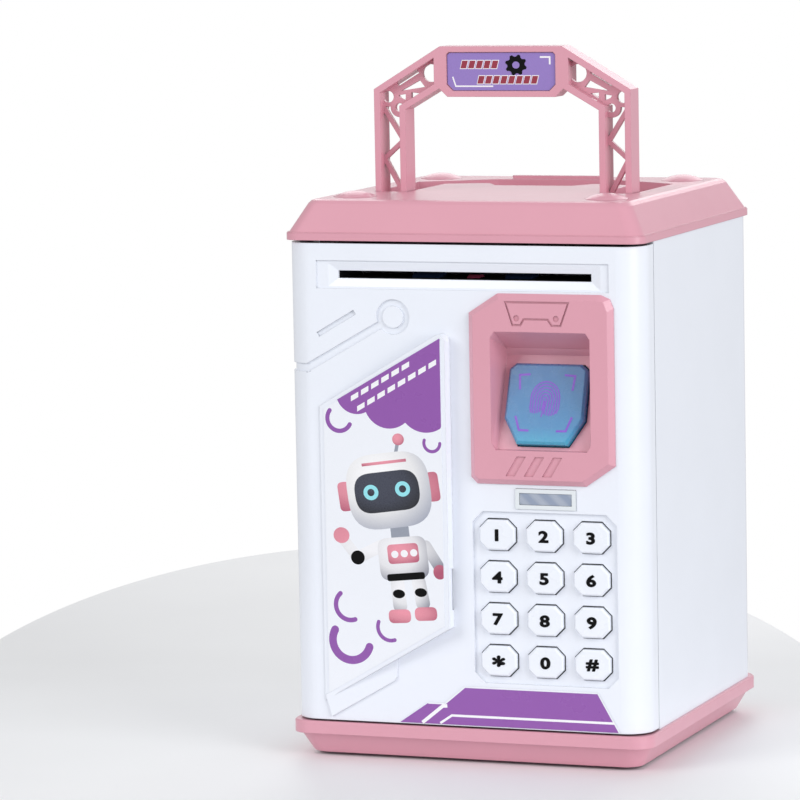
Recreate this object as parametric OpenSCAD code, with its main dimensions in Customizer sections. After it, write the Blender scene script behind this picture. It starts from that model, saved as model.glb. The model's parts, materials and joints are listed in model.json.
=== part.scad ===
// Toy safe coin bank: a hinged keypad door on a square body, with a carrying handle.
// Millimetres. +Z is up, the door faces -Y, and the bank stands on its rubber feet at Z = 0.

/* [Body] */
// Width of the body, side to side
body_w = 126; // [122:1:160]
// Depth of the body, from the door's face to the back
body_d = 126; // [110:1:160]
// Height of the white body between the base and the lid
body_h = 163.9; // [160:0.1:220]
// Thickness of the moulded walls
wall = 2.4; // [1.8:0.1:3]
// Radius of the body's upright corners
corner_r = 8.8; // [7:0.1:11]
// How far the door wraps back round the sides
seam_depth = 13.6; // [12:0.1:18]
// Gap between the door and the parts around it
door_gap = 0.6; // [0.4:0.1:1]

/* [Base] */
// Height of the pink base
base_h = 11.6; // [10:0.1:16]
// Height of the base's upper band
base_band_h = 4.1; // [3:0.1:6]
// How far the band stands out past the body
base_over = 1.3; // [0.5:0.1:2.5]
// How far the base draws in at the bottom
base_inset = 4.7; // [2:0.1:7]
// How far the rubber feet stand proud
foot_proud = 1; // [0.6:0.1:2]
// Radius of a rubber foot
foot_r = 6; // [4:0.1:8]

/* [Lid] */
// Height of the lid
lid_h = 13.3; // [13:0.1:18]
// Height of the lid's rim
lid_rim_h = 2.7; // [2:0.1:4]
// How far the rim stands out past the body
lid_over = 0.45; // [0.3:0.05:1.5]
// How far the sloping sides draw in
lid_slope = 5.2; // [3:0.1:8]
// Radius of the rounded top edge
lid_round = 2.6; // [1:0.1:4]
// Radius of a corner stud on the lid
stud_r = 7.4; // [5:0.1:9]
// Height of a corner stud
stud_h = 2; // [1:0.1:3]

/* [Handle] */
// Width over the handle's legs
handle_w = 92.4; // [84:0.1:96]
// Front-to-back depth of the handle
handle_d = 8.7; // [7:0.1:8.8]
// Height of the handle above the lid
handle_rise = 49.7; // [40:0.1:56]
// Width of one leg
leg_w = 11.4; // [9:0.1:14]
// Thickness of the handle's rails
rail_t = 2.2; // [1.6:0.1:3]
// Thickness of the lattice between the rails
web_t = 1.6; // [1:0.1:2.5]
// Width of the flat top with the name plate
plaque_w = 44; // [36:0.1:50]
// Height of the name plate's block
plaque_h = 17.2; // [14:0.1:20]
// Distance of the handle's pivot in front of the body's centre
handle_fwd = 15; // [10:0.1:20]
// Radius of the handle's stub pins
stub_r = 1.7; // [1.2:0.1:2.2]

/* [Note slot and feeder] */
// Length of the note slot
slot_w = 89.4; // [80:0.1:92]
// Height of the note slot
slot_h = 2.6; // [2:0.1:3.4]
// Distance of the slot below the door's top edge
slot_drop = 10.5; // [10:0.1:14]
// Radius of the feed rollers
roller_r = 5.5; // [4.5:0.1:5.8]
// Radius of the feed shaft
feed_shaft_r = 1.5; // [1:0.1:2]

/* [Finger reader] */
// Width of the pink reader frame
reader_w = 50.6; // [46:0.1:52]
// Height of the pink reader frame
reader_h = 63.8; // [60:0.1:68]
// How far the frame stands proud of the door
reader_proud = 2.2; // [1.5:0.1:3]
// Width of the finger recess at its mouth
mouth_w = 34.8; // [32:0.1:37]
// Height of the finger recess at its mouth
mouth_h = 39.6; // [38:0.1:42]
// Lean of the pad from upright, in degrees
pad_tilt = 20; // [16:0.5:22]
// Travel of the pad
pad_travel = 1; // [0.6:0.1:1.2]

/* [Keypad] */
// Distance from one key to the next across
key_pitch_x = 16.5; // [15:0.1:17]
// Distance from one row to the next
key_pitch_z = 14.2; // [12:0.1:15]
// Width of a key
key_w = 12.4; // [10:0.1:13.2]
// Height of a key
key_h = 10.2; // [8.5:0.1:11]
// Cut-off corner of a key
key_cut = 2.8; // [1:0.1:3.5]
// Travel of a key
key_travel = 1.5; // [0.8:0.1:1.6]
// Distance of the keypad's centre from the door's right side
keypad_from_side = 34.8; // [34:0.1:40]
// Distance of the bottom row above the base
key_row_up = 23.5; // [22:0.1:30]

/* [Picture panel] */
// Width of the slanted picture panel
art_w = 47; // [40:0.1:48]
// Upright height of the picture panel
art_h = 100.7; // [80:0.1:104]
// How far the panel's left edge stands proud
art_low = 0.4; // [0.3:0.1:2]
// How far the panel's right edge stands proud
art_high = 5; // [3:0.1:6]
// Slope of the panel's top and bottom edges, in degrees
slant = 30; // [20:1:35]

/* [Lock] */
// Width of the lock bolt, front to back
bolt_w = 6; // [4:0.1:7]
// Height of the lock bolt
bolt_h = 8; // [6:0.1:9]
// Travel of the lock bolt
bolt_travel = 5.6; // [4.6:0.1:5.8]
// Module of the lock's rack and pinion
lock_module = 0.6; // [0.5:0.05:0.65]

/* [Hidden] */
$fn = 48;

// Colours
WHITE = [0.90, 0.92, 0.96];
PINK = [0.86, 0.63, 0.70];
VIOLET = [0.52, 0.34, 0.68];
BLACK = [0.12, 0.12, 0.14];
STEEL = [0.72, 0.73, 0.75];
RUBBER = [0.12, 0.18, 0.32];

// Clearances
fit_gap = 0.02;        // between fixed pins or screws and their holes
run_gap = 0.06;        // between a turning shaft and its bore, on the radius
slide_gap = 0.3;       // round keys, the bolt and the pad
handle_gap = 0.6;      // round the folded handle
eps = 0.01;            // overlap that keeps cuts clean

// Main planes
half_w = body_w / 2;
half_d = body_d / 2;
front_y = -half_d;
inner_y = front_y + wall;
seam_y = front_y + seam_depth;
base_top = foot_proud + base_h;
body_top = base_top + body_h;
lid_top = body_top + lid_h;
door_bottom = base_top + door_gap;
door_top = body_top - 0.9;
// the bank is moved back so that its outline is centred on the origin
centre_shift = (art_high - base_over) / 2;

// Hinge of the door
hinge_x = -half_w + corner_r;
hinge_y = front_y + corner_r;
hinge_pin_r = 1.5;
hinge_pin_in = 8;
lug_h = 6;
lug_r = corner_r - wall + 0.8;
wrap_back = seam_depth - corner_r;
door_edge_r = sqrt(corner_r * corner_r + wrap_back * wrap_back);
hinge_clear_r = door_edge_r + 0.35;

// Posts and screws of the body
post_r = 3.4;
post_h = 14;
post_x = half_w - 11;
post_ys = [half_d - 11, front_y + 51];
screw_r = 1.2;
screw_head_r = 2.6;
screw_head_h = 1.8;
ear_t = 2.5;
ear_drop = 4;

// Base
base_floor_t = 2.6;
base_corner_r = 7;
base_round = 2;
foot_recess = 1.4;
foot_x = half_w - 19;
foot_y = half_d - 19;
rim_t = 2;
rim_h = 4;
rim_gap = 0.2;

// Handle, drawn upright in X and Z
handle_y = -handle_fwd;
handle_half = handle_w / 2;
inner_half = handle_half - leg_w;
plaque_half = plaque_w / 2;
handle_top = lid_top + handle_rise;
shoulder_z = handle_top - 14.6;
inner_shoulder_z = handle_top - 21.6;
plaque_bottom = handle_top - plaque_h;
plaque_cut = 2.6;
pivot_z = lid_top - handle_d / 2 - 0.45;
leg_solid_z = lid_top - 1;
outer_fall = (handle_top - shoulder_z) / (handle_half - plaque_half);
inner_fall = tan(30);
outer_drop = rail_t * sqrt(1 + outer_fall * outer_fall);
inner_rise = rail_t * sqrt(1 + inner_fall * inner_fall);
pocket_out = handle_half - rail_t;
pocket_in = inner_half + rail_t;
pocket_mid = plaque_half + rail_t;
stub_l = 3.2;
label_recess = 0.8;
label_rim = 2.4;

// Handle recess in the lid
recess_floor = pivot_z - handle_d / 2 - 0.45;
recess_wall = 2;
recess_front = handle_y - handle_d / 2 - 0.3;
notch_half = 14;
notch_y = handle_y + 28;

// Keypad and reader column
panel_x = half_w - keypad_from_side;
key_bottom_z = base_top + key_row_up;
key_top_z = key_bottom_z + 3 * key_pitch_z;
key_centre_z = (key_bottom_z + key_top_z) / 2;
keypad_recess = 0.9;
keypad_recess_w = 2 * key_pitch_x + key_w + 5.2;
keypad_recess_h = 3 * key_pitch_z + key_h + 5.4;
key_proud = 1;
key_flange = 0.8;
key_gap = 0.4;          // round a key in its hole
key_flange_t = 0.8;
key_flange_front = inner_y + slide_gap;
key_flange_back = key_flange_front + key_flange_t;
membrane_y = key_flange_back + key_travel + slide_gap;
board_y = membrane_y + 1.2;
board_t = 1.6;
board_back = board_y + board_t;
board_post = [for (x = [-0.5, 0.5], row = [0.5, 2.5])
    [panel_x + x * key_pitch_x, key_bottom_z + row * key_pitch_z]];
led_w = 21.2;
led_h = 6.8;
led_z = key_centre_z + keypad_recess_h / 2 + 4.6;
reader_bottom = led_z + led_h / 2 + 1.4;
reader_z = reader_bottom + reader_h / 2;

// Reader recess and its tilted pad
reader_face = front_y - reader_proud;
reader_bevel = 1.8;
mouth_bottom = reader_bottom + 11.6;
mouth_top = mouth_bottom + mouth_h;
mouth_cut = 2.2;
mouth_taper = 1.4;
ceiling_drop = 6.6;
ceiling_y = reader_face + 12.2;
pad_y = reader_face + 4.7;
pad_z = mouth_bottom + 15.4;
pad_wall_front = 3;
pad_wall_back = 5;
pad_flange_t = 0.8;
box_wall = 1.8;
switch_top = -pad_wall_back - 0.3 - pad_flange_t - pad_travel - slide_gap;
switch_front = switch_top - 3.4;
function lean_y(z, behind) = pad_y + behind / cos(pad_tilt) + (z - pad_z) * tan(pad_tilt);

// Picture panel
art_left = -half_w + 11.8;
art_right = art_left + art_w;
art_bottom_left = base_top + 7.2;
art_top_left = art_bottom_left + art_h;
art_round = 2.4;
sticker_t = 0.2;

// Raised band above the picture panel
band_w = 2.7;
band_z = art_top_left + 14.3;

// Note slot and feeder
slot_x = 0.7;
slot_z = door_top - slot_drop;
slot_low = slot_z - slot_h / 2;
slot_high = slot_z + slot_h / 2;
funnel_back = 1.5;      // depth of the slopes round the slot
funnel_x = 3.4;
funnel_z = 2.7;
feed_y = front_y + 15.5;
feed_z = slot_low + 1.4 - roller_r;
roller_w = 9.8;
roller_x = 16.5;
nip_gap = 0.3;
pinch_r = 3.2;
pinch_shaft_r = 1;
pinch_z = feed_z + roller_r + nip_gap + pinch_r;
plate_t = 1.4;
plate_left = slot_x - slot_w / 2 - 0.2;
plate_right = slot_x + slot_w / 2 + 0.2;
plate_front = inner_y;
plate_back = front_y + 24;
guide_t = 1.6;
gear_module = 0.5;
feed_teeth = 36;
pinion_teeth = 12;
gear_w = 2;
gear_x = plate_left - plate_t - 0.6 - gear_w / 2;
motor_reach = gear_module * (feed_teeth + pinion_teeth) / 2;
motor_y = feed_y + 5;
motor_z = feed_z - sqrt(motor_reach * motor_reach - 25);
motor_r = 7;
motor_l = 14;
motor_x = plate_left;
tooth_play = 0.14;

// Back cover of the door
cover_y = front_y + 30;
cover_wall = 2;
cover_left = -half_w + 12;
cover_right = half_w - 8.5;
cover_bottom = base_top + 4;
cover_top = door_top - 1.4;
cover_cut = 8.5;
boss_r = 2.6;
cover_boss = [[cover_left + 6.9, base_top + 10], [panel_x + 12, base_top + 10],
              [cover_left + 6.9, reader_bottom + 41], [panel_x + 12, feed_z - roller_r - 0.8]];

// Lock
lock_y = front_y + 15;
lock_z = led_z + 9;
lock_teeth = 14;
lock_pitch_r = lock_module * lock_teeth / 2;
bolt_tip = cover_right - 0.3;
bolt_l = 32;
rack_y = lock_y + bolt_w / 2;
lock_pinion_x = bolt_tip - 18;
lock_pinion_y = rack_y + lock_pitch_r - lock_module;
keeper_t = 2.4;
keeper_gap = 0.4;

// Batteries
cell_r = 7.1;
cell_l = 50;
cell_pitch = 14.9;
bat_x = cover_left + 27;
bat_bottom = base_top + 17;
bat_wall = 1.4;
bat_h = cell_l + 4.5;
bat_head = 6.4;
bat_w = 3 * cell_pitch + 2 * bat_wall;
bat_front = cover_y - 19;
bat_back = cover_y - cover_wall;
cell_y = bat_back - cell_r - 1;

// ---------- shared shapes ----------

module placed() translate([0, centre_shift, 0]) children();

module both_sides() for (side = [-1, 1]) scale_x(side) children();

module scale_x(side) mirror([side < 0 ? 1 : 0, 0, 0]) children();

module rounded_rect(w, d, r) {
    square([w - 2 * r, d], center = true);
    square([w, d - 2 * r], center = true);
    for (x = [-1, 1], y = [-1, 1])
        translate([x * (w / 2 - r), y * (d / 2 - r)]) circle(r);
}

// a thin rounded slab of the body's plan, drawn in by inset, for hulls
module plan_slab(inset, r, z)
    translate([0, 0, z]) linear_extrude(eps)
        rounded_rect(body_w - 2 * inset, body_d - 2 * inset, r);

// draws a shape given in X and Z and runs it from y_back forward to y_front
module upright(y_back, y_front)
    translate([0, y_back, 0]) rotate([90, 0, 0]) linear_extrude(y_back - y_front) children();

// runs a shape given in Y and Z from x_low to x_high
module sideways(x_low, x_high)
    translate([x_low, 0, 0]) rotate([90, 0, 90]) linear_extrude(x_high - x_low) children();

module rod_x(x_low, x_high, y, z, r)
    translate([x_low, y, z]) rotate([0, 90, 0]) cylinder(r = r, h = x_high - x_low);

module rod_y(y_low, y_high, x, z, r)
    translate([x, y_high, z]) rotate([90, 0, 0]) cylinder(r = r, h = y_high - y_low);

module block(low, high) translate(low) cube(high - low);

function cut_rect(w, h, c) = [
    [-w / 2 + c, -h / 2], [w / 2 - c, -h / 2], [w / 2, -h / 2 + c], [w / 2, h / 2 - c],
    [w / 2 - c, h / 2], [-w / 2 + c, h / 2], [-w / 2, h / 2 - c], [-w / 2, -h / 2 + c]];

// involute gear outline
function roll(rb, r) = let (a = acos(min(1, rb / r))) tan(a) * 180 / PI - a;
function flank(n, m, r) = let (rp = n * m / 2, rb = rp * cos(20))
    90 / n - tooth_play / rp * 45 / PI + roll(rb, rp) - roll(rb, max(r, rb));
function gear_points(n, m) = let (rp = n * m / 2, rb = rp * cos(20), rr = rp - 1.15 * m, ra = rp + 0.8 * m)
    [for (i = [0 : n - 1]) each
        concat([for (r = [rr, max(rr, rb), rp, ra]) let (a = i * 360 / n - flank(n, m, r)) r * [cos(a), sin(a)]],
               [for (r = [ra, rp, max(rr, rb), rr]) let (a = i * 360 / n + flank(n, m, r)) r * [cos(a), sin(a)]])];

module screw_up(z_head, l) {
    translate([0, 0, z_head]) cylinder(r = screw_head_r, h = screw_head_h);
    translate([0, 0, z_head + screw_head_h - eps]) cylinder(r = screw_r, h = l);
}

// a screw driven forward through the door's cover
module screw_forward(x, z, y_head, l) {
    difference() {
        rod_y(y_head - screw_head_h, y_head, x, z, screw_head_r);
        upright(y_head + 1, y_head - 0.7) translate([x, z]) {
            square([3, 0.7], center = true);
            square([0.7, 3], center = true);
        }
    }
    rod_y(y_head - screw_head_h - l, y_head - screw_head_h + eps, x, z, screw_r);
}

module at_posts() for (x = [-post_x, post_x], y = post_ys) translate([x, y, 0]) children();

// ---------- base ----------

module base_outer() {
    low = foot_proud;
    band = base_top - base_band_h;
    hull() {
        for (a = [0 : 30 : 90])
            plan_slab(base_inset - base_round * sin(a) * 0.6, base_corner_r - 1.5, low + base_round * (1 - cos(a)));
        plan_slab(0.2, base_corner_r, band - 0.2);
    }
    translate([0, 0, band - 0.2]) linear_extrude(base_band_h - 0.5 + 0.2)
        rounded_rect(body_w + 2 * base_over, body_d + 2 * base_over, base_corner_r);
    hull() {
        plan_slab(-base_over, base_corner_r, base_top - 0.5 - eps);
        plan_slab(-base_over + 0.5, base_corner_r - 0.5, base_top - eps);
    }
}

module base_tray() color(PINK) placed() difference() {
    base_outer();
    difference() {
        hull() {
            plan_slab(base_inset + 2.6, 3, foot_proud + base_floor_t);
            plan_slab(wall + rim_gap, corner_r - wall, base_top + eps);
        }
        at_posts() cylinder(r = post_r, h = base_top);
        translate([hinge_x, hinge_y, 0]) cylinder(r = 4.6, h = base_top);
        block([-half_w, front_y, 0], [half_w, front_y + 5.2, base_top + 1]);
    }
    at_posts() {
        translate([0, 0, -1]) cylinder(r = screw_head_r + 0.2, h = 1 + foot_proud + screw_head_h + 0.4);
        cylinder(r = screw_r + fit_gap, h = base_top + 1);
    }
    for (x = [-foot_x, foot_x], y = [-foot_y, foot_y])
        translate([x, y, foot_proud - eps]) cylinder(r = foot_r + fit_gap, h = foot_recess + eps);
    translate([hinge_x, hinge_y, base_top - hinge_pin_in]) cylinder(r = hinge_pin_r + fit_gap, h = hinge_pin_in + 1);
}

module rubber_feet() color(BLACK) placed()
    for (x = [-foot_x, foot_x], y = [-foot_y, foot_y])
        translate([x, y, 0]) {
            cylinder(r = foot_r - 0.4, h = foot_proud);
            translate([0, 0, 0.4]) cylinder(r = foot_r, h = foot_proud + foot_recess - 0.4);
        }

module base_screws() color(STEEL) placed() at_posts() screw_up(foot_proud + 0.4, base_h + 8);

// ---------- body ----------

module body_shell() color(WHITE) placed() difference() {
    union() {
        translate([0, 0, base_top]) linear_extrude(body_h) difference() {
            rounded_rect(body_w, body_d, corner_r);
            rounded_rect(body_w - 2 * wall, body_d - 2 * wall, corner_r - wall);
            translate([-half_w - 1, front_y - 1]) square([body_w + 2, seam_depth + 1 + door_gap]);
            translate([hinge_x, hinge_y]) circle(hinge_clear_r);
        }
        // lip behind the door's free edge, with the keeper for the bolt
        block([half_w - wall - keeper_gap - keeper_t, hinge_y, base_top + 3],
              [half_w - wall - keeper_gap, seam_y + 8, body_top - rim_h - 0.5]);
        block([half_w - wall - keeper_gap - keeper_t, seam_y + door_gap, base_top + 3],
              [half_w - wall / 2, seam_y + 8, body_top - rim_h - 0.5]);
        // posts for the base's screws and ears for the lid's
        at_posts() translate([0, 0, base_top]) cylinder(r = post_r, h = post_h);
        for (x = [-1, 1], y = post_ys) {
            block([min(x * post_x, x * (half_w - 1)), y - 1, base_top],
                  [max(x * post_x, x * (half_w - 1)), y + 1, base_top + post_h]);
            block([min(x * (post_x - post_r), x * (half_w - 1)), y - post_r, body_top - ear_drop - ear_t],
                  [max(x * (post_x - post_r), x * (half_w - 1)), y + post_r, body_top - ear_drop]);
        }
    }
    at_posts() {
        translate([0, 0, base_top - 1]) cylinder(r = screw_r + fit_gap, h = post_h - 1);
        translate([0, 0, body_top - ear_drop - ear_t - 1]) cylinder(r = screw_r + 0.2, h = ear_t + 2);
    }
    // keeper for the bolt
    block([half_w - wall - keeper_gap - keeper_t - 1, lock_y - bolt_w / 2 - 0.5, lock_z - bolt_h / 2 - 0.5],
          [half_w - wall - keeper_gap + eps, lock_y + bolt_w / 2 + 0.5, lock_z + bolt_h / 2 + 0.5]);
}

module hinge_pins() color(STEEL) placed() translate([hinge_x, hinge_y, 0]) {
    translate([0, 0, base_top - hinge_pin_in]) cylinder(r = hinge_pin_r, h = hinge_pin_in + door_gap + lug_h - 1);
    translate([0, 0, door_top - lug_h + 1]) cylinder(r = hinge_pin_r, h = body_top - door_top + lug_h - 1 + 6);
}

// ---------- lid ----------

module lid_form(inset, top) {
    round_r = max(0.6, lid_round - inset);
    hull() {
        plan_slab(0.3 + inset, 5, body_top + lid_rim_h - 0.05);
        for (a = [0 : 30 : 90])
            plan_slab(lid_slope + inset + round_r * (1 - cos(a)), 4.6, top - round_r * (1 - sin(a)) - eps);
    }
}

module lid_outer() {
    translate([0, 0, body_top]) linear_extrude(lid_rim_h - 0.3)
        rounded_rect(body_w + 2 * lid_over, body_d + 2 * lid_over, 5.2);
    translate([0, 0, body_top + lid_rim_h - 0.3 - eps]) linear_extrude(0.3 + eps)
        rounded_rect(body_w + 2 * lid_over - 0.6, body_d + 2 * lid_over - 0.6, 4.9);
    lid_form(0, lid_top);
}

// the folded handle's outline on the lid, grown by gap
module folded_outline(gap) {
    fold = function(z) handle_y + z - pivot_z;
    polygon([[-handle_half - gap, recess_front - max(0, gap - handle_gap)],
             [handle_half + gap, recess_front - max(0, gap - handle_gap)],
             [handle_half + gap, fold(shoulder_z) + gap * 0.6], [plaque_half + gap * 0.6, fold(handle_top) + gap],
             [-plaque_half - gap * 0.6, fold(handle_top) + gap], [-handle_half - gap, fold(shoulder_z) + gap * 0.6]]);
}

// the raised island inside the handle's loop, shrunk by gap
module island_outline(gap) {
    fold = function(z) handle_y + z - pivot_z;
    x1 = inner_half - gap;
    x2 = plaque_half - gap;
    corner_y = fold(inner_shoulder_z) - gap;
    lobe_y = fold(plaque_bottom) - gap;
    polygon([[-x1, recess_front - 5], [x1, recess_front - 5], [x1, corner_y], [x2 + 1, lobe_y],
             [notch_half + 5, lobe_y], [notch_half, notch_y - gap], [-notch_half, notch_y - gap],
             [-notch_half - 5, lobe_y], [-x2 - 1, lobe_y], [-x1, corner_y]]);
}

module at_studs() for (x = [-1, 1], y = [-1, 1])
    translate([x * (half_w - 18.2), y * (half_d - 20.5), lid_top]) children();

module lid() color(PINK) placed() difference() {
    union() {
        lid_outer();
        // locating rim inside the side and back walls
        translate([0, 0, body_top - rim_h]) linear_extrude(rim_h + 1) difference() {
            rounded_rect(body_w - 2 * wall - 2 * rim_gap, body_d - 2 * wall - 2 * rim_gap, corner_r - wall - rim_gap);
            rounded_rect(body_w - 2 * wall - 2 * rim_gap - 2 * rim_t, body_d - 2 * wall - 2 * rim_gap - 2 * rim_t,
                         corner_r - wall - rim_gap - rim_t);
            translate([-half_w, front_y]) square([body_w, seam_depth + 9]);
        }
        at_posts() translate([0, 0, body_top - ear_drop]) cylinder(r = post_r - 0.2, h = ear_drop + 1);
        // low lip behind the recess, for a fingertip
        translate([0, handle_y + handle_top - pivot_z + 5.4, lid_top - 1])
            linear_extrude(2.1) rounded_rect(37, 3, 1.4);
    }
    difference() {
        union() {
            lid_form(wall, lid_top - 2);
            translate([0, 0, body_top - eps]) linear_extrude(lid_rim_h + 0.5)
                rounded_rect(body_w - 2 * wall - 4.4, body_d - 2 * wall - 4.4, 3);
        }
        translate([0, 0, recess_floor - recess_wall]) linear_extrude(lid_top) difference() {
            folded_outline(handle_gap + recess_wall);
            island_outline(handle_gap + recess_wall);
        }
        both_sides() for (x = [inner_half - 4.2, handle_half + 0.4])
            block([x, handle_y - 5, recess_floor - recess_wall], [x + 3.8, handle_y + 5, lid_top]);
        at_posts() translate([0, 0, body_top - ear_drop]) cylinder(r = post_r - 0.2, h = lid_h + ear_drop);
        translate([hinge_x, hinge_y, body_top - 1]) cylinder(r = 4, h = lid_h);
        at_studs() translate([0, 0, -4]) cylinder(r = 3.6, h = 4);
    }
    translate([0, 0, recess_floor]) linear_extrude(lid_h) difference() {
        folded_outline(handle_gap);
        island_outline(handle_gap);
    }
    both_sides() rod_x(inner_half - stub_l - 0.2, handle_half + stub_l + 0.2, handle_y, pivot_z, stub_r + run_gap);
    at_posts() translate([0, 0, body_top - ear_drop - 1]) cylinder(r = screw_r + fit_gap, h = 11);
    translate([hinge_x, hinge_y, body_top - 1]) cylinder(r = hinge_pin_r + fit_gap, h = 7.2);
    at_studs() translate([0, 0, -3.6]) cylinder(r = 2 + fit_gap, h = 4);
}

module lid_screws() color(STEEL) placed() at_posts()
    screw_up(body_top - ear_drop - ear_t - screw_head_h, 10);

// shallow domes on the lid's corners, each with a peg
module lid_studs() color(PINK) placed() at_studs() {
    dome_r = (stud_r * stud_r + stud_h * stud_h) / (2 * stud_h);
    rotate_extrude() intersection() {
        translate([0, stud_h - dome_r]) circle(dome_r, $fn = 128);
        square([stud_r, stud_h]);
    }
    translate([0, 0, -3.2]) cylinder(r = 2, h = 3.2 + eps);
}

// ---------- handle ----------

module handle_outer() polygon([
    [-handle_half, pivot_z], [handle_half, pivot_z], [handle_half, shoulder_z],
    [plaque_half, handle_top], [-plaque_half, handle_top], [-handle_half, shoulder_z]]);

module handle_loop() polygon(concat(
    [[-inner_half, pivot_z - 1], [inner_half, pivot_z - 1], [inner_half, inner_shoulder_z]],
    [[plaque_half + 0.3, inner_shoulder_z + (inner_half - plaque_half - 0.3) * inner_fall],
     [plaque_half - plaque_cut, plaque_bottom]],
    [[plaque_cut - plaque_half, plaque_bottom],
     [-plaque_half - 0.3, inner_shoulder_z + (inner_half - plaque_half - 0.3) * inner_fall]],
    [[-inner_half, inner_shoulder_z]]));

// the hollow between the rails of the right half
function outer_line(x) = shoulder_z + (handle_half - x) * outer_fall - outer_drop;
function inner_line(x) = inner_shoulder_z + (inner_half - x) * inner_fall + inner_rise;
module handle_pocket() polygon([
    [pocket_in, leg_solid_z], [pocket_out, leg_solid_z], [pocket_out, outer_line(pocket_out)],
    [pocket_mid, outer_line(pocket_mid)], [pocket_mid, inner_line(pocket_mid)], [pocket_in, inner_line(pocket_in)]]);

module strut(a, b, w) {
    l = norm(b - a);
    translate(a) rotate(atan2(b[1] - a[1], b[0] - a[0])) translate([-0.8, -w / 2]) square([l + 1.6, w]);
}

// lattice in the right-hand leg and shoulder
module handle_web() {
    ring_big = [plaque_half + 4.5, shoulder_z + 5.3];
    ring_small = [inner_half + 3.4, inner_shoulder_z + 0.5];
    hole_corner = [handle_half - 3.9, shoulder_z - 2.8];
    zig = [inner_shoulder_z + 0.4, inner_shoulder_z - 10.7, inner_shoulder_z - 16.9, leg_solid_z - 0.5];
    for (i = [0 : 2])
        strut([i % 2 == 0 ? pocket_out : pocket_in, zig[i]], [i % 2 == 0 ? pocket_in : pocket_out, zig[i + 1]], 1.6);
    difference() {
        intersection() {
            handle_pocket();
            union() {
                translate([0, hole_corner[1] - 3.4]) square([handle_half, 40]);
                translate(ring_small) circle(3.3);
            }
        }
        translate(ring_big) circle(3.05);
        translate(ring_small) circle(1.5);
        translate(hole_corner) circle(2);
        strut(ring_big + [5.4, 0.2], ring_big + [11.6, -3.5], 1.3);
        polygon([ring_big + [4.1, -2.4], ring_big + [2.3, -4.7], ring_big + [10.9, -6]]);
        polygon([ring_big + [4.4, -6.9], ring_big + [7.3, -6.6], ring_big + [7.3, -8.6]]);
        polygon([ring_big + [9.4, -7.2], ring_big + [12, -7.6], ring_big + [11.4, -8.4], ring_big + [9.4, -9.2]]);
        polygon([ring_big + [-2.3, 5.2], ring_big + [0.4, 4.6], ring_big + [-2.3, 4]]);
    }
}

module handle_label_outline(inset) {
    w = plaque_half - label_rim - inset;
    low = plaque_bottom + label_rim - 0.4 + inset;
    high = handle_top - label_rim + 0.4 - inset;
    polygon([[-w, high - 0.8], [-w + 0.8, high], [w - 0.8, high], [w, high - 0.8],
             [w, low + 2.2], [w - 2.2, low], [-w + 2.2, low], [-w, low + 2.2]]);
}

module handle() color(PINK) placed() {
    front = handle_y - handle_d / 2;
    back = handle_y + handle_d / 2;
    difference() {
        union() {
            upright(back, front) difference() {
                handle_outer();
                handle_loop();
                both_sides() handle_pocket();
            }
            both_sides() upright(handle_y + web_t / 2, handle_y - web_t / 2) handle_web();
            both_sides() rod_x(inner_half, handle_half, handle_y, pivot_z, handle_d / 2);
            both_sides() rod_x(inner_half - stub_l, handle_half + stub_l, handle_y, pivot_z, stub_r);
        }
        upright(front + label_recess, front - 1) handle_label_outline(0);
    }
}

module handle_label() color(VIOLET) placed() {
    floor_y = handle_y - handle_d / 2 + label_recess;
    upright(floor_y, floor_y - 0.3) handle_label_outline(0.2);
}

// ---------- door ----------

// thick outline of the picture panel; its edges lie inset inside the real ones
module art_outline(inset) {
    rise = inset / cos(slant);
    left = art_left + inset;
    right = art_right - inset;
    top = function(x) art_top_left + (x - art_left) * tan(slant) - rise;
    bottom = function(x) art_bottom_left + (x - art_left) * tan(slant) + rise;
    r = max(0.5, art_round - inset);
    cx = right - r;
    cz = top(cx) - r / cos(slant);
    polygon(concat([[left, bottom(left)], [right, bottom(right)]],
                   [for (a = [0 : 15 : 120]) [cx + r * cos(a), cz + r * sin(a)]],
                   [[left, top(left)]]));
}

// wedge between two heights over the door's face, full height
module art_wedge(from_low, from_high, to_low, to_high)
    linear_extrude(body_top) polygon([[art_left, front_y - from_low], [art_right, front_y - from_high],
                                      [art_right, front_y - to_high], [art_left, front_y - to_low]]);

module art_solid(inset, from_low, from_high, to_low, to_high) intersection() {
    art_wedge(from_low, from_high, to_low, to_high);
    upright(inner_y + 5, front_y - art_high - 3) art_outline(inset);
}

// thin ledge under the picture panel
module ledge_outline() {
    x2 = art_left + 26.3;
    low = function(x) art_bottom_left - 6.8 + (x - art_left) * tan(slant);
    polygon([[art_left + 0.3, art_bottom_left + 2], [art_left + 2.4, low(art_left + 2.4)], [x2 - 1, low(x2 - 1)],
             [x2, low(x2) + 1], [x2 + 0.3, art_bottom_left + 26.3 * tan(slant) + 2]]);
}

// shallow band with a ring at its end, pressed into the door
module band_outline() {
    ring = [art_left + 26.9, art_top_left + 30.6];
    end_x = -half_w + 7.3;
    end_z = band_z;
    difference() {
        union() {
            translate(ring) circle(5.9);
            strut([end_x, end_z - band_w / 2 - 0.2], ring + [-4.4, -2.6], band_w);
            translate([-half_w - 1, end_z - band_w]) square([end_x + half_w + 1.2, band_w]);
        }
        translate(ring) circle(3.7);
    }
    strut(ring + [-26.4, -6], ring + [-14.4, 1], 1.7);
}

module slot_recess_outline() {
    w = slot_w / 2 + 7;
    translate([slot_x - 0.6, slot_z]) polygon([[-w, -4.7], [w, -4.7], [w, 4.7], [-w, 4.7]]);
}

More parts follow.
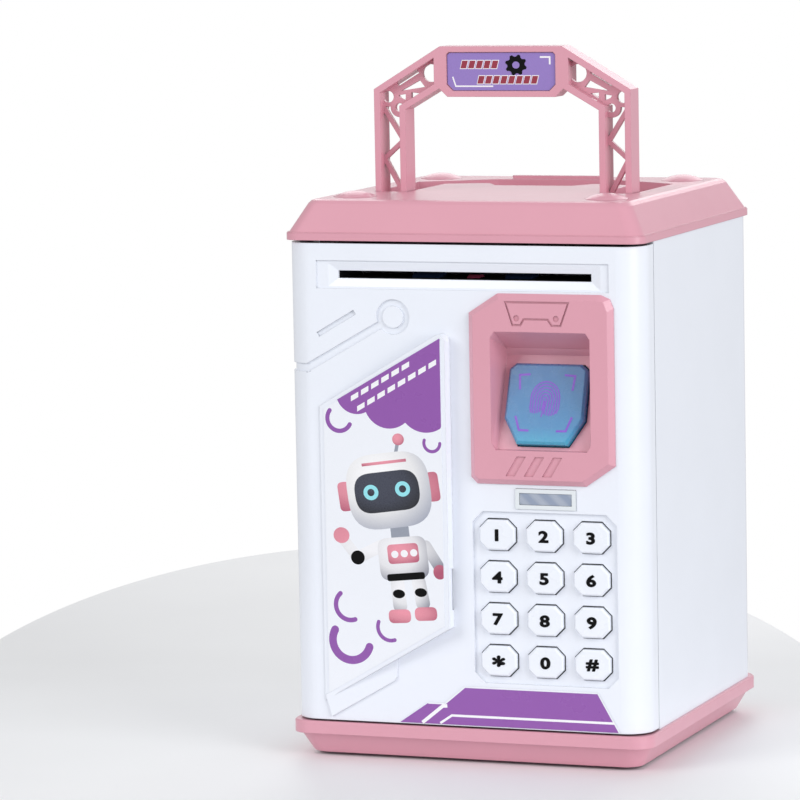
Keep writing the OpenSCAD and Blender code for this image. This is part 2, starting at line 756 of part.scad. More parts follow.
// slopes that lead a note into the slot
module slot_funnel() intersection() {
    y1 = front_y + funnel_back;
    y2 = front_y + 0.5;
    w = slot_w / 2;
    h = slot_h / 2;
    sideways(slot_x - w - 10, slot_x + w + 10) polygon([
        [y1, slot_z - h], [y2, slot_z - h - funnel_z], [front_y - 1, slot_z - h - funnel_z],
        [front_y - 1, slot_z + h + funnel_z], [y2, slot_z + h + funnel_z], [y1, slot_z + h]]);
    translate([slot_x, 0, slot_z - 8]) linear_extrude(16) polygon([
        [-w, y1], [-w - funnel_x, y2], [-w - funnel_x, front_y - 1],
        [w + funnel_x, front_y - 1], [w + funnel_x, y2], [w, y1]]);
}

// the band's end, round the door's left corner
module band_wrap() translate([0, 0, band_z - band_w]) linear_extrude(band_w) difference() {
    translate([-half_w - 1, front_y - 1]) square([corner_r + 1, seam_depth + 2]);
    rounded_rect(body_w - 1.4, body_d - 1.4, corner_r - 0.7);
}

module key_outline(grow)
    polygon(cut_rect(key_w + 2 * grow, key_h + 2 * grow, key_cut + grow * 0.6));

module at_keys() for (col = [-1 : 1], row = [0 : 3])
    translate([panel_x + col * key_pitch_x, key_bottom_z + row * key_pitch_z]) children();

module reader_outline(inset) {
    w = reader_w / 2 - inset;
    h = reader_h / 2 - inset;
    k = inset * 0.5;
    translate([panel_x, reader_z]) polygon([
        [-w + 2.2 - k, -h], [w - 10.2 + k, -h], [w, -h + 7 - k], [w, h - 4.4 + k], [w - 1.3, h - 1.3 + k],
        [w - 4.4 + k, h], [-w + 10.2 - k, h], [-w, h - 6.6 + k], [-w, -h + 2.2 - k]]);
}

module door_plan() difference() {
    intersection() {
        rounded_rect(body_w, body_d, corner_r);
        translate([-half_w - 1, front_y - 1]) square([body_w + 2, seam_depth + 1]);
    }
    intersection() {
        rounded_rect(body_w - 2 * wall, body_d - 2 * wall, corner_r - wall);
        translate([-half_w, inner_y - 1]) square([body_w, seam_depth + 1]);
    }
}

module hinge_lug(z) translate([0, 0, z]) linear_extrude(lug_h) difference() {
    translate([hinge_x, hinge_y]) circle(lug_r);
    translate([hinge_x, hinge_y]) circle(hinge_pin_r + run_gap);
}

// ring behind the picture panel that holds the speaker
module speaker_ring() intersection() {
    difference() {
        rod_y(front_y - art_high, inner_y + 5, speaker_x, speaker_z, speaker_r + 1.8);
        rod_y(front_y - art_high - 1, inner_y + 6, speaker_x, speaker_z, speaker_r - 1.5);
        rod_y(inner_y + 1.4, inner_y + 6, speaker_x, speaker_z, speaker_r + fit_gap);
    }
    art_solid(0.5, -wall - 6, -wall - 6, art_low - 1, art_high - 1);
}

module door_panel() color(WHITE) placed() {
    door_body();
    speaker_ring();
}

module door_body() difference() {
    union() {
        translate([0, 0, door_bottom]) linear_extrude(door_top - door_bottom) door_plan();
        hinge_lug(door_bottom);
        hinge_lug(door_top - lug_h);
        art_solid(0, -1, -1, art_low, art_high);
        upright(front_y + 0.5, front_y - 0.7) ledge_outline();
        for (p = cover_boss) rod_y(inner_y - 0.5, cover_y - cover_wall, p[0], p[1], boss_r);
        for (p = board_post) rod_y(inner_y - 0.5, board_y, p[0], p[1], 2);
    }
    // hollow behind the picture panel
    art_solid(2.4, -wall - 1.5, -wall - 1.5, art_low - 2.2, art_high - 2.4);
    upright(inner_y + 1, front_y - 1) translate([slot_x, slot_z]) square([slot_w, slot_h], center = true);
    upright(front_y + 0.5, front_y - 1) slot_recess_outline();
    slot_funnel();
    band_wrap();
    upright(front_y + 0.7, front_y - 1) band_outline();
    upright(front_y + keypad_recess, front_y - 1) translate([panel_x, key_centre_z])
        polygon(cut_rect(keypad_recess_w, keypad_recess_h, 3.6));
    upright(inner_y + 1, front_y - 1) at_keys() key_outline(key_gap);
    upright(inner_y + 1, front_y - 1) translate([panel_x + 0.7, led_z]) square([led_w - 2, led_h - 2], center = true);
    upright(front_y + 0.8, front_y - 1) translate([panel_x + 0.7, led_z])
        square([led_w + 0.1, led_h + 0.1], center = true);
    // opening behind the reader frame
    block([panel_x - reader_w / 2 + 4.8, front_y - 1, mouth_bottom - 3.6],
          [panel_x + reader_w / 2 - 4.8, inner_y + 1, mouth_top + 3]);
    // sound slit in the picture panel's side
    block([art_right - 4, front_y - 1.6, art_bottom_left + 33], [art_right + 1, front_y - 0.1, art_bottom_left + 47]);
    for (p = cover_boss) rod_y(inner_y + 4, cover_y, p[0], p[1], screw_r + fit_gap);
    for (p = board_post) rod_y(inner_y, board_y + 1, p[0], p[1], 0.8 + fit_gap);
}

module cover_plan(inset) {
    w1 = cover_left + inset;
    w2 = cover_right - inset;
    y2 = cover_y - inset;
    k = cover_cut - inset * 0.4;
    polygon([[w1, inner_y], [w2, inner_y], [w2, y2 - k * 1.5], [w2 - k, y2], [w1 + 2, y2], [w1, y2 - 2]]);
}

// space inside the cover, open towards the door
module cover_inside() translate([0, 0, cover_bottom + cover_wall])
    linear_extrude(cover_top - cover_bottom - 2 * cover_wall) {
        cover_plan(cover_wall);
        translate([cover_left + cover_wall, inner_y - 1])
            square([cover_right - cover_left - 2 * cover_wall, 1 + eps]);
    }

module door_cover() color(WHITE) placed() difference() {
    translate([0, 0, cover_bottom]) linear_extrude(cover_top - cover_bottom) intersection() {
        cover_plan(0);
        rounded_rect(body_w - 2 * wall, body_d - 2 * wall, corner_r - wall);
    }
    cover_inside();
    // note outlet, battery opening, bolt opening and screw seats
    block([-slot_w / 2, cover_y - 5, slot_low - 0.4], [slot_w / 2, cover_y + 1, slot_high + 0.4]);
    block([bat_x - bat_w / 2 + 1, cover_y - 4, bat_bottom],
          [bat_x + bat_w / 2 - 1, cover_y + 1, bat_bottom + bat_h + bat_head]);
    block([cover_right - 5, lock_y - bolt_w / 2 - slide_gap, lock_z - bolt_h / 2 - slide_gap],
          [cover_right + 1, lock_y + bolt_w / 2 + slide_gap, lock_z + bolt_h / 2 + slide_gap]);
    for (p = cover_boss) {
        rod_y(cover_y - 4, cover_y + 1, p[0], p[1], screw_r + 0.2);
        rod_y(cover_y - 1, cover_y + 1, p[0], p[1], screw_head_r + 0.3);
    }
    for (z = [door_bottom, door_top - lug_h])
        translate([hinge_x, hinge_y, z - 0.3]) cylinder(r = lug_r + 0.3, h = lug_h + 0.6);
    // shallow ribs pressed into the back
    for (i = [0 : 4]) translate([bat_x + 32 + i * 6, cover_y - 0.6, base_top + 22]) cube([2.4, 1, 44]);
}

module cover_screws() color(STEEL) placed()
    for (p = cover_boss) screw_forward(p[0], p[1], cover_y + 0.8, 12);

module door_picture() color(VIOLET) placed()
    art_solid(1.6, art_low, art_high, art_low + sticker_t, art_high + sticker_t);

module lower_sticker() color(VIOLET) placed() upright(front_y, front_y - sticker_t) {
    low = door_bottom + 0.4;
    mid = low + 7;
    high = low + 13;
    right = half_w - 9.4;
    polygon([[-half_w + 38.8, low], [-half_w + 49, mid], [-half_w + 55, mid], [-half_w + 62.2, high],
             [right - 7.4, high], [right, low]]);
}

// ---------- finger reader ----------

module recess_profile(grow) {
    low = mouth_bottom - grow;
    turn_z = mouth_top - ceiling_drop - 2.4;
    polygon([[reader_face + (grow > 0 ? reader_proud : -1), mouth_top + grow + (grow > 0 ? -0.6 : 0.5)],
             [ceiling_y + grow, mouth_top - ceiling_drop + grow],
             [lean_y(turn_z, pad_wall_front + grow), turn_z],
             [lean_y(low, pad_wall_front + grow), low],
             [reader_face + (grow > 0 ? reader_proud : -1), low]]);
}

module pad_space() translate([panel_x, pad_y, pad_z]) rotate([90 - pad_tilt, 0, 0]) children();

module pad_outline(grow) polygon([
    [-11.5 - grow * 0.6, 13.8 + grow], [11.5 + grow * 0.6, 13.8 + grow], [13.8 + grow, 11.8 + grow * 0.4],
    [13.9 + grow, -5.1 - grow * 0.3], [8.8 + grow * 0.6, -13.8 - grow], [-8.8 - grow * 0.6, -13.8 - grow],
    [-13.9 - grow, -5.1 - grow * 0.3], [-13.8 - grow, 11.8 + grow * 0.4]]);

module reader_frame() color(PINK) placed() difference() {
    union() {
        hull() {
            upright(front_y, front_y - 0.4) reader_outline(0);
            upright(reader_face + eps, reader_face) reader_outline(reader_bevel);
        }
        sideways(panel_x - mouth_w / 2 - box_wall, panel_x + mouth_w / 2 + box_wall) recess_profile(box_wall);
        // posts for the switch board
        for (x = [-1, 1]) pad_space() translate([x * 17.2, 0, switch_front]) cylinder(r = 1.5, h = -4 - switch_front);
        // snap hooks behind the door
        for (x = [-1, 1]) block([panel_x + x * (mouth_w / 2 + 1) - 1.2, front_y - 0.5, mouth_top - 6],
                                [panel_x + x * (mouth_w / 2 + 1) + 1.2, inner_y + 2, mouth_top - 1]);
    }
    // finger recess
    hull() {
        sideways(panel_x - mouth_w / 2 + mouth_taper, panel_x + mouth_w / 2 - mouth_taper) recess_profile(0);
        upright(reader_face + eps, reader_face - 1) translate([panel_x, (mouth_bottom + mouth_top) / 2])
            polygon(cut_rect(mouth_w, mouth_h, mouth_cut));
    }
    pad_space() translate([0, 0, -14]) linear_extrude(14) pad_outline(slide_gap + 0.1);
    // clearance for the pad's flange
    pad_space() translate([0, 0, -14]) linear_extrude(14 - pad_wall_back) pad_outline(1.4);
    // pressed decoration
    upright(reader_face + 0.5, reader_face - 1) translate([panel_x, mouth_top]) {
        difference() {
            polygon([[-12.2, 10.2], [-9.6, 2], [-6.4, 2], [-5.2, 4], [2.8, 4], [4.2, 2], [7.6, 2], [10.6, 10.2]]);
            polygon([[-11.4, 9.6], [-9.1, 2.6], [-6.8, 2.6], [-5.6, 4.6], [3.2, 4.6], [4.6, 2.6], [7.2, 2.6], [9.8, 9.6]]);
        }
        for (x = [-8, 5.8]) translate([x, 4.6]) circle(1);
    }
    upright(reader_face + 0.5, reader_face - 1) for (i = [0 : 2])
        translate([panel_x - 12.6 + i * 6.4, mouth_bottom - 8.6])
            polygon([[0, 0], [3.2, 0], [7.2, 6.6], [4, 6.6]]);
}

module reader_pad() color([0.45, 0.66, 0.82]) placed() pad_space() {
    hull() {
        translate([0, 0, -0.9]) linear_extrude(eps) pad_outline(0);
        translate([0, 0, -eps]) linear_extrude(eps) pad_outline(-0.8);
    }
    translate([0, 0, -pad_wall_back - 0.3 - pad_flange_t]) linear_extrude(pad_wall_back + 0.3 + pad_flange_t - 0.9 + eps)
        pad_outline(0);
    translate([0, 0, -pad_wall_back - 0.3 - pad_flange_t]) linear_extrude(pad_flange_t) pad_outline(1);
}

// small board with the push switch behind the pad
module reader_switch() color([0.10, 0.35, 0.22]) placed() pad_space() {
    translate([0, 0, switch_top - 1 - eps]) cylinder(r = 1.7, h = 1 + eps);
    translate([-3, -3, switch_front - eps]) cube([6, 6, 2.4 + eps]);
    translate([-19, -8, switch_front - 1.6]) cube([38, 16, 1.6]);
}

module led_window() color([0.75, 0.82, 0.90, 0.6]) placed() {
    upright(front_y + 0.8, front_y - 0.5) translate([panel_x + 0.7, led_z]) difference() {
        square([led_w, led_h], center = true);
        square([led_w - 2.8, led_h - 2.8], center = true);
    }
    upright(front_y + 0.8, front_y) translate([panel_x + 0.7, led_z]) square([led_w - 2, led_h - 2], center = true);
}

module led_bar() color([0.85, 0.90, 1]) placed() {
    upright(board_y, front_y + 1.6) translate([panel_x + 0.7, led_z]) square([led_w - 2.6, led_h - 2.6], center = true);
}

// ---------- keypad ----------

module key_cap(col, row) color(WHITE) placed() translate([panel_x + col * key_pitch_x, 0, key_bottom_z + row * key_pitch_z]) {
    face = front_y - key_proud;
    hull() {
        upright(face + 0.6 + eps, face + 0.6) key_outline(0);
        upright(face + eps, face) key_outline(-0.5);
    }
    upright(key_flange_front + eps, face + 0.6) key_outline(0);
    upright(key_flange_back, key_flange_front) key_outline(key_flange);
}

module key_1() key_cap(-1, 3);
module key_2() key_cap(0, 3);
module key_3() key_cap(1, 3);
module key_4() key_cap(-1, 2);
module key_5() key_cap(0, 2);
module key_6() key_cap(1, 2);
module key_7() key_cap(-1, 1);
module key_8() key_cap(0, 1);
module key_9() key_cap(1, 1);
module key_star() key_cap(-1, 0);
module key_0() key_cap(0, 0);
module key_hash() key_cap(1, 0);

module keypad_membrane() color([0.75, 0.75, 0.72]) placed() {
    difference() {
        upright(board_y, board_y - 0.6) translate([panel_x, key_centre_z])
            square([2 * key_pitch_x + key_w, 3 * key_pitch_z + key_h], center = true);
        for (p = board_post) rod_y(board_y - 2, board_y + 1, p[0], p[1], 2.3);
    }
    for (col = [-1 : 1], row = [0 : 3])
        rod_y(membrane_y, board_y - 0.5, panel_x + col * key_pitch_x, key_bottom_z + row * key_pitch_z, 2.6);
}

module main_board() color([0.08, 0.36, 0.22]) placed() {
    low = key_bottom_z - key_pitch_z / 2 - 2;
    high = led_z + led_h / 2 + 1;
    difference() {
        block([panel_x - 23.8, board_y, low], [panel_x + 23.8, board_back, high]);
        for (p = board_post) rod_y(board_y - 1, board_back + 1, p[0], p[1], 0.8 + fit_gap);
    }
    // controller and capacitor
    block([panel_x - 5, board_back - eps, key_centre_z - 5], [panel_x + 5, board_back + 1.6, key_centre_z + 5]);
    translate([panel_x - 16, board_back + 5, key_centre_z + 12]) rotate([90, 0, 0]) cylinder(r = 2.5, h = 5 + eps);
}

module board_screws() color(STEEL) placed()
    for (p = board_post) {
        rod_y(board_back, board_back + 1, p[0], p[1], 1.7);
        rod_y(board_y - 2.6, board_back + eps, p[0], p[1], 0.8);
    }

speaker_x = art_left + art_w / 2;
speaker_z = art_bottom_left + 92;
speaker_r = 14;
module speaker() color(BLACK) placed() {
    rod_y(inner_y + 1.4, inner_y + 4.4, speaker_x, speaker_z, speaker_r);
    rod_y(inner_y + 4.4 - eps, inner_y + 8, speaker_x, speaker_z, 8);
}

// ---------- note feeder ----------

module feeder_frame() color(BLACK) placed() difference() {
    union() {
        for (x = [plate_left - plate_t, plate_right])
            block([x, plate_front, feed_z - roller_r + 1], [x + plate_t, plate_back, pinch_z + pinch_r]);
        // the left plate reaches down to carry the motor
        block([plate_left - plate_t, motor_y - motor_r, motor_z - motor_r], [plate_left, plate_back, feed_z]);
        block([plate_left - eps, plate_front, slot_low - 0.2 - guide_t], [plate_right + eps, plate_back, slot_low - 0.2]);
        block([plate_left - eps, plate_front, slot_high + 0.2], [plate_right + eps, plate_back, slot_high + 0.2 + guide_t]);
    }
    for (x = [-roller_x, roller_x])
        block([x - roller_w / 2 - 0.6, feed_y - roller_r - 0.5, slot_low - 5],
              [x + roller_w / 2 + 0.6, feed_y + roller_r + 0.5, slot_high + 5]);
    block([-3.4, feed_y - roller_r, slot_low - 5], [3.4, feed_y + roller_r, slot_low + 0.5]);
    rod_x(plate_left - plate_t - 1, plate_right + plate_t + 1, feed_y, feed_z, feed_shaft_r + run_gap);
    rod_x(plate_left - plate_t - 1, plate_right + plate_t + 1, feed_y, pinch_z, pinch_shaft_r + run_gap);
    rod_x(plate_left - plate_t - 1, plate_left + 1, motor_y, motor_z, 1.2);
}

module feed_shaft() color(STEEL) placed()
    rod_x(gear_x - gear_w / 2 - 0.3, plate_right + plate_t + 0.8, feed_y, feed_z, feed_shaft_r);

module ring_x(x, w, y, z, r_out, r_in) difference() {
    rod_x(x - w / 2, x + w / 2, y, z, r_out);
    rod_x(x - w / 2 - 1, x + w / 2 + 1, y, z, r_in);
}

module feed_rollers() color(RUBBER) placed() for (x = [-roller_x, roller_x])
    ring_x(x, roller_w, feed_y, feed_z, roller_r, feed_shaft_r + fit_gap);

module feed_hub() color(PINK) placed() ring_x(0, 4.4, feed_y, feed_z, roller_r - 0.8, feed_shaft_r + fit_gap);

module gear_x_axis(n, m, w, bore) difference() {
    rotate([0, 90, 0]) translate([0, 0, -w / 2]) linear_extrude(w) polygon(gear_points(n, m));
    rod_x(-w, w, 0, 0, bore);
}

// direction from the feed shaft to the motor, as the gears' outlines measure it
mesh_angle = atan2(motor_y - feed_y, feed_z - motor_z);

module feed_gear() color(WHITE) placed() translate([gear_x, feed_y, feed_z])
    rotate([mesh_angle, 0, 0]) gear_x_axis(feed_teeth, gear_module, gear_w, feed_shaft_r + fit_gap);

module motor_pinion() color(STEEL) placed() translate([gear_x, motor_y, motor_z])
    rotate([mesh_angle + 180, 0, 0]) rotate([180 / pinion_teeth, 0, 0]) {
        gear_x_axis(pinion_teeth, gear_module, gear_w, 0.8 - eps);
        rod_x(-gear_w / 2, motor_x - gear_x + 2, 0, 0, 0.8);
    }

module feeder_motor() color(STEEL) placed() difference() {
    rod_x(motor_x, motor_x + motor_l, motor_y, motor_z, motor_r);
    rod_x(motor_x - 1, motor_x + 2.6, motor_y, motor_z, 0.8 + run_gap);
}

module pinch_shaft() color(STEEL) placed()
    rod_x(plate_left - plate_t - 0.1, plate_right + plate_t + 0.6, feed_y, pinch_z, pinch_shaft_r);

module pinch_rollers() color(RUBBER) placed() for (x = [-roller_x, roller_x])
    ring_x(x, roller_w, feed_y, pinch_z, pinch_r, pinch_shaft_r + fit_gap);

// ---------- lock ----------

module lock_case() color(BLACK) placed() difference() {
    intersection() {
        block([bolt_tip - 28, lock_y - bolt_w / 2 - 2, lock_z - bolt_h / 2 - 2],
              [cover_right, lock_y + bolt_w / 2 + 1.8, lock_z + bolt_h / 2 + 2]);
        cover_inside();
    }
    block([bolt_tip - 40, lock_y - bolt_w / 2 - slide_gap, lock_z - bolt_h / 2 - slide_gap],
          [bolt_tip + 2, lock_y + bolt_w / 2 + slide_gap, lock_z + bolt_h / 2 + slide_gap]);
    block([lock_pinion_x - lock_pitch_r - 1, lock_y, lock_z - bolt_h / 2 - slide_gap],
          [lock_pinion_x + lock_pitch_r + 1, lock_y + bolt_w, lock_z + bolt_h / 2 + slide_gap]);
}

// bolt with a rack along its back
module lock_bolt() color(STEEL) placed() {
    pitch = lock_module * PI;
    root_y = rack_y - 2 * lock_module;
    block([bolt_tip - bolt_l, lock_y - bolt_w / 2, lock_z - bolt_h / 2], [bolt_tip, root_y, lock_z + bolt_h / 2]);
    block([bolt_tip - 11, root_y - eps, lock_z - bolt_h / 2], [bolt_tip, rack_y, lock_z + bolt_h / 2]);
    translate([lock_pinion_x, 0, lock_z - 3]) linear_extrude(6) for (i = [-5 : 2])
        translate([(i + 0.5) * pitch, root_y]) polygon([
            [-pitch / 4 - lock_module * 0.36 + tooth_play / 2, -eps], [pitch / 4 + lock_module * 0.36 - tooth_play / 2, -eps],
            [pitch / 4 - lock_module * 0.26 - tooth_play / 2, lock_module * 1.75],
            [-pitch / 4 + lock_module * 0.26 + tooth_play / 2, lock_module * 1.75]]);
}

module lock_pinion() color(WHITE) placed() translate([lock_pinion_x, lock_pinion_y, 0]) {
    translate([0, 0, lock_z - 2.6]) linear_extrude(5.2)
        rotate(-90) polygon(gear_points(lock_teeth, lock_module));
    translate([0, 0, lock_z - 8]) cylinder(r = 0.75, h = 8);
}

module lock_motor() color(STEEL) placed() translate([lock_pinion_x, lock_pinion_y, 0]) difference() {
    translate([0, 0, lock_z - 20]) cylinder(r = 4.6, h = 18 - bolt_h / 2);
    translate([0, 0, lock_z - 8.4]) cylinder(r = 0.75 + run_gap, h = 4);
}

// ---------- batteries ----------

module at_battery_screw() translate([bat_x, 0, bat_bottom + bat_h + 3.4]) children();

module battery_box() color(BLACK) placed() difference() {
    intersection() {
        block([bat_x - bat_w / 2, bat_front, bat_bottom - 1.2],
              [bat_x + bat_w / 2, bat_back, bat_bottom + bat_h + bat_head + 0.6]);
        cover_inside();
    }
    block([bat_x - bat_w / 2 + bat_wall, bat_front + bat_wall, bat_bottom],
          [bat_x + bat_w / 2 - bat_wall, bat_back + 1, bat_bottom + bat_h]);
    at_battery_screw() rod_y(bat_back - 8, bat_back + 1, 0, 0, 1 + fit_gap);
}

module at_cells() for (i = [-1 : 1]) translate([bat_x + i * cell_pitch, cell_y, bat_bottom]) children();

module battery_cells() color([0.15, 0.15, 0.17]) placed() at_cells() {
    translate([0, 0, 4]) cylinder(r = cell_r, h = cell_l - 1);
    translate([0, 0, 3 + cell_l - eps]) cylinder(r = 2.6, h = 1 + eps);
}

module battery_contacts() color(STEEL) placed() at_cells() {
    translate([-5, -5, bat_h - 0.5]) cube([10, 10, 0.5]);
    translate([-5, -5, 0]) cube([10, 10, 0.5]);
    translate([0, 0, 0.5 - eps]) cylinder(r1 = 4, r2 = 2.4, h = 3.5 + eps);
}

module battery_cover() color(WHITE) placed() difference() {
    union() {
        block([bat_x - bat_w / 2 + 1.2, bat_back, bat_bottom + 0.2],
              [bat_x + bat_w / 2 - 1.2, cover_y, bat_bottom + bat_h + bat_head - 0.2]);
        for (i = [0 : 5]) translate([bat_x - 11, cover_y - eps, bat_bottom + 8 + i * 2.6]) cube([22, 0.6, 1.2]);
    }
    at_battery_screw() rod_y(bat_back - 1, cover_y + 1, 0, 0, 1.1);
}

module battery_screw() color(STEEL) placed() at_battery_screw() {
    difference() {
        rod_y(cover_y, cover_y + 1.2, 0, 0, 2.2);
        upright(cover_y + 2, cover_y + 0.6) square([3, 0.6], center = true);
    }
    rod_y(bat_back - 7, cover_y + eps, 0, 0, 1);
}

// ---------- the nodes ----------

base_tray();
rubber_feet();
base_screws();
body_shell();
hinge_pins();
lid();
lid_screws();
lid_studs();
handle();
handle_label();
door_panel();
door_cover();
cover_screws();
door_picture();
lower_sticker();
reader_frame();
reader_pad();
reader_switch();
led_window();
led_bar();
key_1();
key_2();
key_3();
key_4();
key_5();
key_6();
key_7();
key_8();
key_9();
key_star();
key_0();
key_hash();
keypad_membrane();
main_board();
board_screws();
speaker();
feeder_frame();
feed_shaft();
feed_rollers();
feed_hub();
feed_gear();
pinch_shaft();
pinch_rollers();
feeder_motor();
motor_pinion();
lock_case();
lock_bolt();
lock_motor();
lock_pinion();
battery_box();
battery_cells();
battery_contacts();
battery_cover();
battery_screw();
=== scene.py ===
import json
import math

import bmesh
import bpy
from mathutils import Matrix, Vector
from mathutils.geometry import tessellate_polygon


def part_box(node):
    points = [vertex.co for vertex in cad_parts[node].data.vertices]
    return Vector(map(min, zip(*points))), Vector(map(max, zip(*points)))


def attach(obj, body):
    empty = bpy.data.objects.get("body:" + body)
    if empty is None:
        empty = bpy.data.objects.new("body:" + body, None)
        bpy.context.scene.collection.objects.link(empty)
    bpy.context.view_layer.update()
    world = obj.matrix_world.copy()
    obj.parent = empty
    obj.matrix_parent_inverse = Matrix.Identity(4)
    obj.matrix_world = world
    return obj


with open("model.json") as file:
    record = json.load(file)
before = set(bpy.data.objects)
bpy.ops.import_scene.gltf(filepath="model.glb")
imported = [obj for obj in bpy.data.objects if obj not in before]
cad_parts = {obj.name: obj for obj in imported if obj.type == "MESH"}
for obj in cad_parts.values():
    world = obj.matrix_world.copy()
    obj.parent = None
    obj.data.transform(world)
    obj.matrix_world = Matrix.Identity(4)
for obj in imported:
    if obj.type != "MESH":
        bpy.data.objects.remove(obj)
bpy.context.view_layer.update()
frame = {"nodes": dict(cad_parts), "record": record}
NODES = frame["nodes"]
MM = 0.001


def lin(r, g, b):
    """8-bit sRGB to a linear colour."""
    def one(c):
        c = c / 255
        return c / 12.92 if c <= 0.04045 else ((c + 0.055) / 1.055) ** 2.4
    return (one(r), one(g), one(b), 1.0)


def shade(colour, factor):
    return tuple(min(1.0, c * factor) for c in colour[:3]) + (1.0,)


def put_in_scene(thing):
    bpy.context.scene.collection.objects.link(thing)
    return thing


# ---------- camera ----------

VIEW_TURN = math.radians(20.713)
VIEW_RISE = math.radians(6.737)
VIEW_ROLL = math.radians(-1.077)
CAMERA_PLACE = Vector((535.68, -1536.60, 309.54)) * MM
SENSOR_WIDTH = 36
FOCAL_LENGTH = 213.23


def add_camera():
    toward = Vector((math.sin(VIEW_TURN) * math.cos(VIEW_RISE), -math.cos(VIEW_TURN) * math.cos(VIEW_RISE),
                     math.sin(VIEW_RISE)))
    level = Vector((math.cos(VIEW_TURN), math.sin(VIEW_TURN), 0))
    upright = toward.cross(level)
    across = level * math.cos(VIEW_ROLL) + upright * math.sin(VIEW_ROLL)
    upward = upright * math.cos(VIEW_ROLL) - level * math.sin(VIEW_ROLL)
    camera = put_in_scene(bpy.data.objects.new("camera", bpy.data.cameras.new("camera")))
    camera.data.sensor_width = SENSOR_WIDTH
    camera.data.lens = FOCAL_LENGTH
    camera.data.clip_start = 0.05
    camera.data.clip_end = 30
    turn = Matrix((across, upward, toward)).transposed().to_4x4()
    camera.matrix_world = Matrix.Translation(CAMERA_PLACE) @ turn
    bpy.context.scene.camera = camera


add_camera()
bpy.context.scene.view_settings.view_transform = "Standard"
bpy.context.scene.view_settings.look = "None"


# ---------- node material helpers ----------

class Mat:
    """A node material with short helpers."""

    def __init__(self, name):
        self.material = bpy.data.materials.new(name)
        self.material.use_nodes = True
        self.tree = self.material.node_tree
        self.tree.nodes.clear()
        output = self.node("OutputMaterial")
        self.shader = self.node("BsdfPrincipled")
        self.link(self.shader, 0, output, 0)
        self.coord = self.node("TexCoord")

    def node(self, kind):
        return self.tree.nodes.new("ShaderNode" + kind)

    def link(self, source, out, target, socket):
        self.tree.links.new(source.outputs[out], target.inputs[socket])

    def value(self, socket, number):
        """A constant on the shader's own socket."""
        self.shader.inputs[socket].default_value = number

    def noise(self, scale, detail=3.0, rough=0.5, stretch=None):
        noise = self.node("TexNoise")
        noise.inputs["Scale"].default_value = scale
        noise.inputs["Detail"].default_value = detail
        noise.inputs["Roughness"].default_value = rough
        if stretch:
            mapping = self.node("Mapping")
            mapping.inputs["Scale"].default_value = stretch
            self.link(self.coord, "Object", mapping, 0)
            self.link(mapping, 0, noise, 0)
        else:
            self.link(self.coord, "Object", noise, 0)
        return noise

    def ramp(self, source, out, stops):
        ramp = self.node("ValToRGB")
        marks = ramp.color_ramp.elements
        while len(marks) < len(stops):
            marks.new(0.5)
        for mark, (position, colour) in zip(marks, stops):
            mark.position = position
            mark.color = colour
        self.link(source, out, ramp, 0)
        return ramp

    def map_range(self, source, out, to_low, to_high, from_low=0.3, from_high=0.7):
        mapped = self.node("MapRange")
        mapped.inputs["From Min"].default_value = from_low
        mapped.inputs["From Max"].default_value = from_high
        mapped.inputs["To Min"].default_value = to_low
        mapped.inputs["To Max"].default_value = to_high
        self.link(source, out, mapped, 0)
        return mapped

    def math(self, operation, source, out, second=None):
        result = self.node("Math")
        result.operation = operation
        self.link(source, out, result, 0)
        if second is not None:
            result.inputs[1].default_value = second
        return result

    def wear(self, bevel, breakup):
        """Mask of handled edges: where the rounded normal leaves the flat one, broken up by noise."""
        geometry = self.node("NewGeometry")
        dot = self.node("VectorMath")
        dot.operation = "DOT_PRODUCT"
        self.link(bevel, 0, dot, 0)
        self.link(geometry, "Normal", dot, 1)
        mask = self.map_range(dot, "Value", 0.0, 1.0, 0.99, 0.8)
        broken = self.math("MULTIPLY", mask, 0)
        self.link(breakup, 0, broken, 1)
        return broken

    def blend(self, mask, mask_out, source, out, colour):
        """The source where mask is 0 and colour where it is 1, on output 2."""
        mix = self.node("Mix")
        mix.data_type = "RGBA"
        self.link(mask, mask_out, mix, 0)
        self.link(source, out, mix, 6)
        mix.inputs[7].default_value = colour
        return mix

    def edge(self, radius):
        bevel = self.node("Bevel")
        bevel.samples = 4
        bevel.inputs["Radius"].default_value = radius
        return bevel

    def bump(self, source, out, strength, distance, base=None):
        bump = self.node("Bump")
        bump.inputs["Strength"].default_value = strength
        bump.inputs["Distance"].default_value = distance
        self.link(source, out, bump, "Height")
        if base:
            self.link(base, 0, bump, "Normal")
        self.link(bump, 0, self.shader, "Normal")


# ---------- materials ----------

PAINTED_SHADE_REACH = 0.0022   # how far from a wall the painted crevice shade starts, in metres
RUBBED_TONE = 1.08       # handled edges are this much lighter
RUBBED_ROUGHNESS = 0.18  # and this much less glossy
PLASTIC_IOR = 1.49
PRINT_DOTS = 5200        # noise scale of the fine print speckle


